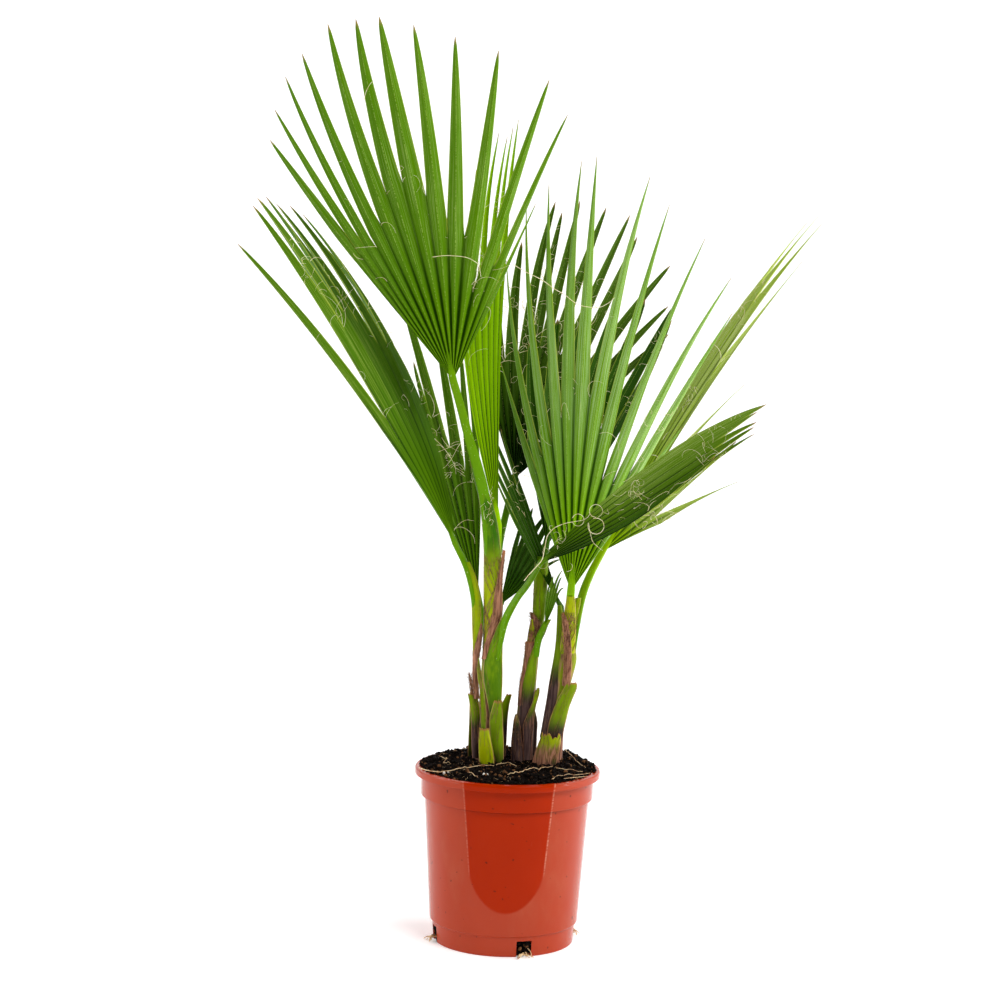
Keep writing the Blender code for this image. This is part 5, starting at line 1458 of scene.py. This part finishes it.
top = [(0.0, 0.0, soil_height(0.0, 0.0))]
angles = [2 * math.pi * i / SOIL_SIDES for i in range(SOIL_SIDES)]
for ring in range(1, SOIL_RINGS + 1):
    for x, y in [polar(SOIL_RADIUS * ring / SOIL_RINGS, angle) for angle in angles]:
        top.append((x, y, soil_height(x, y)))
top += [(*polar(SOIL_RADIUS - 0.0004, angle), SOIL_UNDERSIDE) for angle in angles]
faces = skin((SOIL_RINGS + 1, SOIL_SIDES), caps=False, first=1)
faces += [(0, 1 + i, 1 + (i + 1) % SOIL_SIDES) for i in range(SOIL_SIDES)]
last = 1 + SOIL_RINGS * SOIL_SIDES
faces.append(tuple(range(last, last + SOIL_SIDES))[::-1])

# %% The soil's material
peat = Shader("peat", Specular_IOR_Level=0.05)
peat_cloud = peat.noise(peat.place(), 150.0, detail=4.0, roughness=0.65)
peat_fine = peat.noise(peat.place(), 900.0, detail=3.0, roughness=0.7)
peat_colour = peat.mix(peat_cloud.rise(0.3, 0.7), colour(4, 2, 1), colour(19, 11, 7))
peat_colour = peat.mix(peat_fine.rise(0.60, 0.78) * 0.38, peat_colour, colour(88, 58, 40))
pale_crumb = peat.stored("tone").rise(0.88, 0.95) * 0.7
peat_colour = peat.mix(pale_crumb, peat_colour, colour(128, 88, 56))
peat.paint(Base_Color=peat_colour, Roughness=0.62 + peat_cloud * 0.3)
peat.bump(peat_cloud * 0.5 + peat_fine * 0.6, 0.0012, 0.8)
add_piece("soil_top", Part(top, faces), peat.material, "soil", sharp=60.0)

# %% Crumbs of peat
GOLDEN = (1 + 5**0.5) / 2
ICOSA_POINTS = unit(np.array([
    (-1, GOLDEN, 0), (1, GOLDEN, 0), (-1, -GOLDEN, 0), (1, -GOLDEN, 0),
    (0, -1, GOLDEN), (0, 1, GOLDEN), (0, -1, -GOLDEN), (0, 1, -GOLDEN),
    (GOLDEN, 0, -1), (GOLDEN, 0, 1), (-GOLDEN, 0, -1), (-GOLDEN, 0, 1),
]))
ICOSA_FACES = [
    (0, 11, 5), (0, 5, 1), (0, 1, 7), (0, 7, 10), (0, 10, 11), (1, 5, 9), (5, 11, 4), (11, 10, 2),
    (10, 7, 6), (7, 1, 8), (3, 9, 4), (3, 4, 2), (3, 2, 6), (3, 6, 8), (3, 8, 9), (4, 9, 5),
    (2, 4, 11), (6, 2, 10), (8, 6, 7), (9, 8, 1),
]


def crumb(x, y, size, draw, lift=0.1):
    """A jittered solid that stands out of the soil by a share of its size."""
    stretch = np.array([draw.uniform(0.55, 1.3) for _ in range(3)])
    jitter = np.array([draw.uniform(0.72, 1.2) for _ in ICOSA_POINTS])[:, None]
    angle = draw.uniform(0, math.pi * 2)
    turn = Matrix.Rotation(angle, 3, Vector([draw.gauss(0, 1) for _ in range(3)]))
    points = (ICOSA_POINTS * jitter * stretch * size) @ np.array(turn)
    points = points + np.array((x, y, soil_height(x, y) + size * lift))
    return Part(points, ICOSA_FACES, tone=draw.random())


# %% Scatter the crumbs
CRUMBS = 4200
SMALLEST = 0.0006
SIZE_RANGE = 0.0019
RIM_CRUMBS = 900
RIM_REACH = 0.0905
RIM_SIZE_RANGE = 0.0014
DRAIN_CRUMBS = 70
DRAIN_SPREAD = 0.0075
DRAIN_REACHES = (0.0665, 0.0715)
DRAIN_SIZES = (0.0010, 0.0026)

crumb_draw = random.Random(3)
crumbs = []
for _ in range(CRUMBS):
    reach = (SOIL_RADIUS - 0.002) * math.sqrt(crumb_draw.random())
    angle = crumb_draw.uniform(0, 2 * math.pi)
    size = SMALLEST + SIZE_RANGE * crumb_draw.random() ** 2.4
    lift = crumb_draw.uniform(-0.1, 0.8)
    crumbs.append(crumb(*polar(reach, angle), size, crumb_draw, lift))
for _ in range(RIM_CRUMBS):
    angle = crumb_draw.gauss(math.pi / 2, 1.15)
    reach = RIM_REACH - abs(crumb_draw.gauss(0, 0.0032))
    size = SMALLEST + RIM_SIZE_RANGE * crumb_draw.random() ** 2
    piece = crumb(*polar(reach, angle), size, crumb_draw)
    piece.set_height(POT_HEIGHT + size * 0.6)
    crumbs.append(piece)
for out, across in DRAINS:
    for _ in range(DRAIN_CRUMBS):
        spread = crumb_draw.uniform(-DRAIN_SPREAD, DRAIN_SPREAD)
        reach = crumb_draw.uniform(*DRAIN_REACHES)
        x, y, _ = out * reach + across * spread
        size = crumb_draw.uniform(*DRAIN_SIZES)
        piece = crumb(x, y, size, crumb_draw)
        piece.set_height(crumb_draw.uniform(size * 1.6, DRAIN_HEIGHT - size))
        crumbs.append(piece)
add_piece("soil_crumbs", join(crumbs), peat.material, sharp=30.0)

# %% Grains of perlite
GRAINS = [
    (-64, -52, 1.7), (-60, -50, 1.3), (-24, -64, 1.4), (-20, -62, 1.0), (48, 34, 1.5),
    (-40, 44, 1.2),
]
PERLITE = mottled("perlite", 0.8, 500.0, (236, 232, 222), (196, 186, 168))
grains = [crumb(*np.array(grain) * MILLIMETRE, crumb_draw, lift=0.9) for grain in GRAINS]
add_piece("soil_perlite", join(grains), PERLITE, sharp=30.0)

# %% Roots and twigs
ROOTS = [
    (0.45, "-90 -33  -80 -46  -66 -52  -52 -50  -40 -40  -24 -32  -14 -26"),
    (0.42, "0 -62  7 -60  15 -54  24 -42  34 -34  44 -30  60 -32  76 -30"),
    (0.32, "-12 -24  -4 -20  4 -22  9 -30"),
    (0.35, "-40 -58  -34 -66  -30 -76"),
    (0.3, "44 -70  54 -58  62 -50  74 -44  84 -36"),
    (0.26, "56 -66  66 -60  80 -52"),
    (0.3, "20 60  2 66  -18 58  -36 60  -52 48"),
    (0.34, "60 40  66 20  74 4  80 -10"),
    (0.3, "-70 20  -62 0  -66 -14  -58 -26"),
]
ROOT_LIFT = 0.0030
ROOT_JITTER = 0.00015
DRAIN_ROOTS = 7
DRAIN_ROOT_RADII = (0.00045, 0.0009)
TWIGS = 90
TWIG_REACH = 0.082
TWIG_RADII = (0.00008, 0.0002)
TWIG_STRIDE = 0.0016
PALE_ROOT = mottled("pale_root", 0.6, 160.0, (226, 196, 148), (160, 104, 60))
root_draw = random.Random(8)
strands = []
for radius, places in ROOTS:
    route = []
    for x, y in smooth_route(table(2, places) * MILLIMETRE, 7):
        x, y = x + root_draw.gauss(0, ROOT_JITTER), y + root_draw.gauss(0, ROOT_JITTER)
        z = max(soil_height(x, y), POT_HEIGHT) + ROOT_LIFT + root_draw.uniform(0, 0.0002)
        route.append((x, y, z))
    strands.append(hair(route, radius * MILLIMETRE, sides=6, taper=0.4))
for out, across in DRAINS:
    for _ in range(DRAIN_ROOTS):
        start = out * 0.071 + across * root_draw.uniform(-0.005, 0.005)
        start[2] = root_draw.uniform(0.002, 0.009)
        end = out * root_draw.uniform(0.076, 0.083) + across * root_draw.uniform(-0.011, 0.009)
        end[2] = 0.0012
        middle = (start + end) / 2 + out * 0.002 + UP * root_draw.uniform(0.0, 0.003)
        route = smooth_route([start, middle, end], 6)
        strands.append(hair(route, root_draw.uniform(*DRAIN_ROOT_RADII), sides=6, taper=0.5))
for _ in range(TWIGS):
    angle = root_draw.uniform(0, 2 * math.pi)
    x, y = polar(TWIG_REACH * math.sqrt(root_draw.random()), angle)
    way = root_draw.uniform(0, 2 * math.pi)
    route = []
    for k in range(8):
        route.append((x, y, soil_height(x, y) + 0.0004 + root_draw.uniform(0, 0.0006)))
        way += root_draw.gauss(0, 0.35)
        x, y = x + math.cos(way) * TWIG_STRIDE, y + math.sin(way) * TWIG_STRIDE
        if math.hypot(x, y) > SOIL_RADIUS - 0.001:
            break
    if len(route) > 3:
        strands.append(hair(route, root_draw.uniform(*TWIG_RADII)))
add_piece("soil_roots", join(strands), PALE_ROOT)

# %% [markdown]
# ## Floor and light
#
# The picture has no scenery, so the stage is a pale floor that curves up into a backdrop far
# behind, with two lights of its own that make it white. A large soft light above, in front and
# to the right lights one half of every fold. Two wide panels at the sides brighten the sides of
# the pot, two thin strips draw the fine lines on it, and a pale sky fills the shadows. The pot's
# lighter sides and fine lines are also painted into its plastic, as a painted reflection and
# painted highlights.

# %% The floor
FLOOR_REACH = 6.0
FLOOR_FRONT = -4.0
FLOOR_BACK = 3.2
FLOOR_CURVE = 1.2
CURVE_STEPS = 17
BACKDROP_TOP = 6.0
WHITE = (1.0, 1.0, 1.0, 1.0)

paper = Shader("paper", Roughness=0.85, Emission_Color=WHITE, Emission_Strength=0.20)
grain = paper.noise(paper.place(), 3.0)
paper.paint(Base_Color=paper.mix(grain, colour(243, 243, 243), colour(250, 250, 250)))
profile = [(FLOOR_FRONT, 0.0), (FLOOR_BACK - FLOOR_CURVE, 0.0)]
for t in np.linspace(0, math.pi / 2, CURVE_STEPS)[1:]:
    back = FLOOR_BACK - FLOOR_CURVE * (1 - math.sin(t))
    profile.append((back, FLOOR_CURVE * (1 - math.cos(t))))
profile.append((FLOOR_BACK, BACKDROP_TOP))
points = [(x, y, z) for y, z in profile for x in (-FLOOR_REACH, FLOOR_REACH)]
faces = skin((len(profile), 2), closed=False, caps=False)
mesh = new_mesh("floor", points, faces)
mesh.shade_smooth()
mesh.materials.append(paper.material)
floor = put("floor", mesh)

# %% The lights
def soft_light(name, place, target, size, power):
    light = bpy.data.lights.new(name, "AREA")
    light.shape = "RECTANGLE"
    light.size, light.size_y = size
    light.energy = power
    made = put(name, light)
    made.location = place
    way = Vector(target) - Vector(place)
    made.rotation_euler = way.to_track_quat("-Z", "Y").to_euler()


soft_light("key", (1.30, -1.9, 2.5), (0.0, 0.0, 0.45), (1.5, 1.2), 64.0)
soft_light("side_left", (-1.58, 0.25, 0.75), (0.0, 0.0, 0.40), (1.8, 1.5), 12.0)
soft_light("side_right", (1.58, 0.25, 0.75), (0.0, 0.0, 0.40), (1.8, 1.5), 15.0)
soft_light("strip_left", (-1.45, -0.68, 0.62), (0.0, 0.0, 0.15), (0.03, 1.1), 5.0)
soft_light("strip_right", (1.56, -0.36, 0.62), (0.0, 0.0, 0.15), (0.03, 1.1), 5.0)
soft_light("backdrop_left", (-2.6, 0.9, 2.4), (0.0, 3.2, 0.9), (1.4, 1.4), 46.0)
soft_light("backdrop_right", (2.6, 0.9, 2.4), (0.0, 3.2, 0.9), (1.4, 1.4), 46.0)

world = bpy.data.worlds.new("pale")
world.use_nodes = True
sky = world.node_tree.nodes["Background"]
sky.inputs["Color"].default_value = WHITE
sky.inputs["Strength"].default_value = 0.15
bpy.context.scene.world = world
bpy.context.scene.view_settings.view_transform = "Standard"
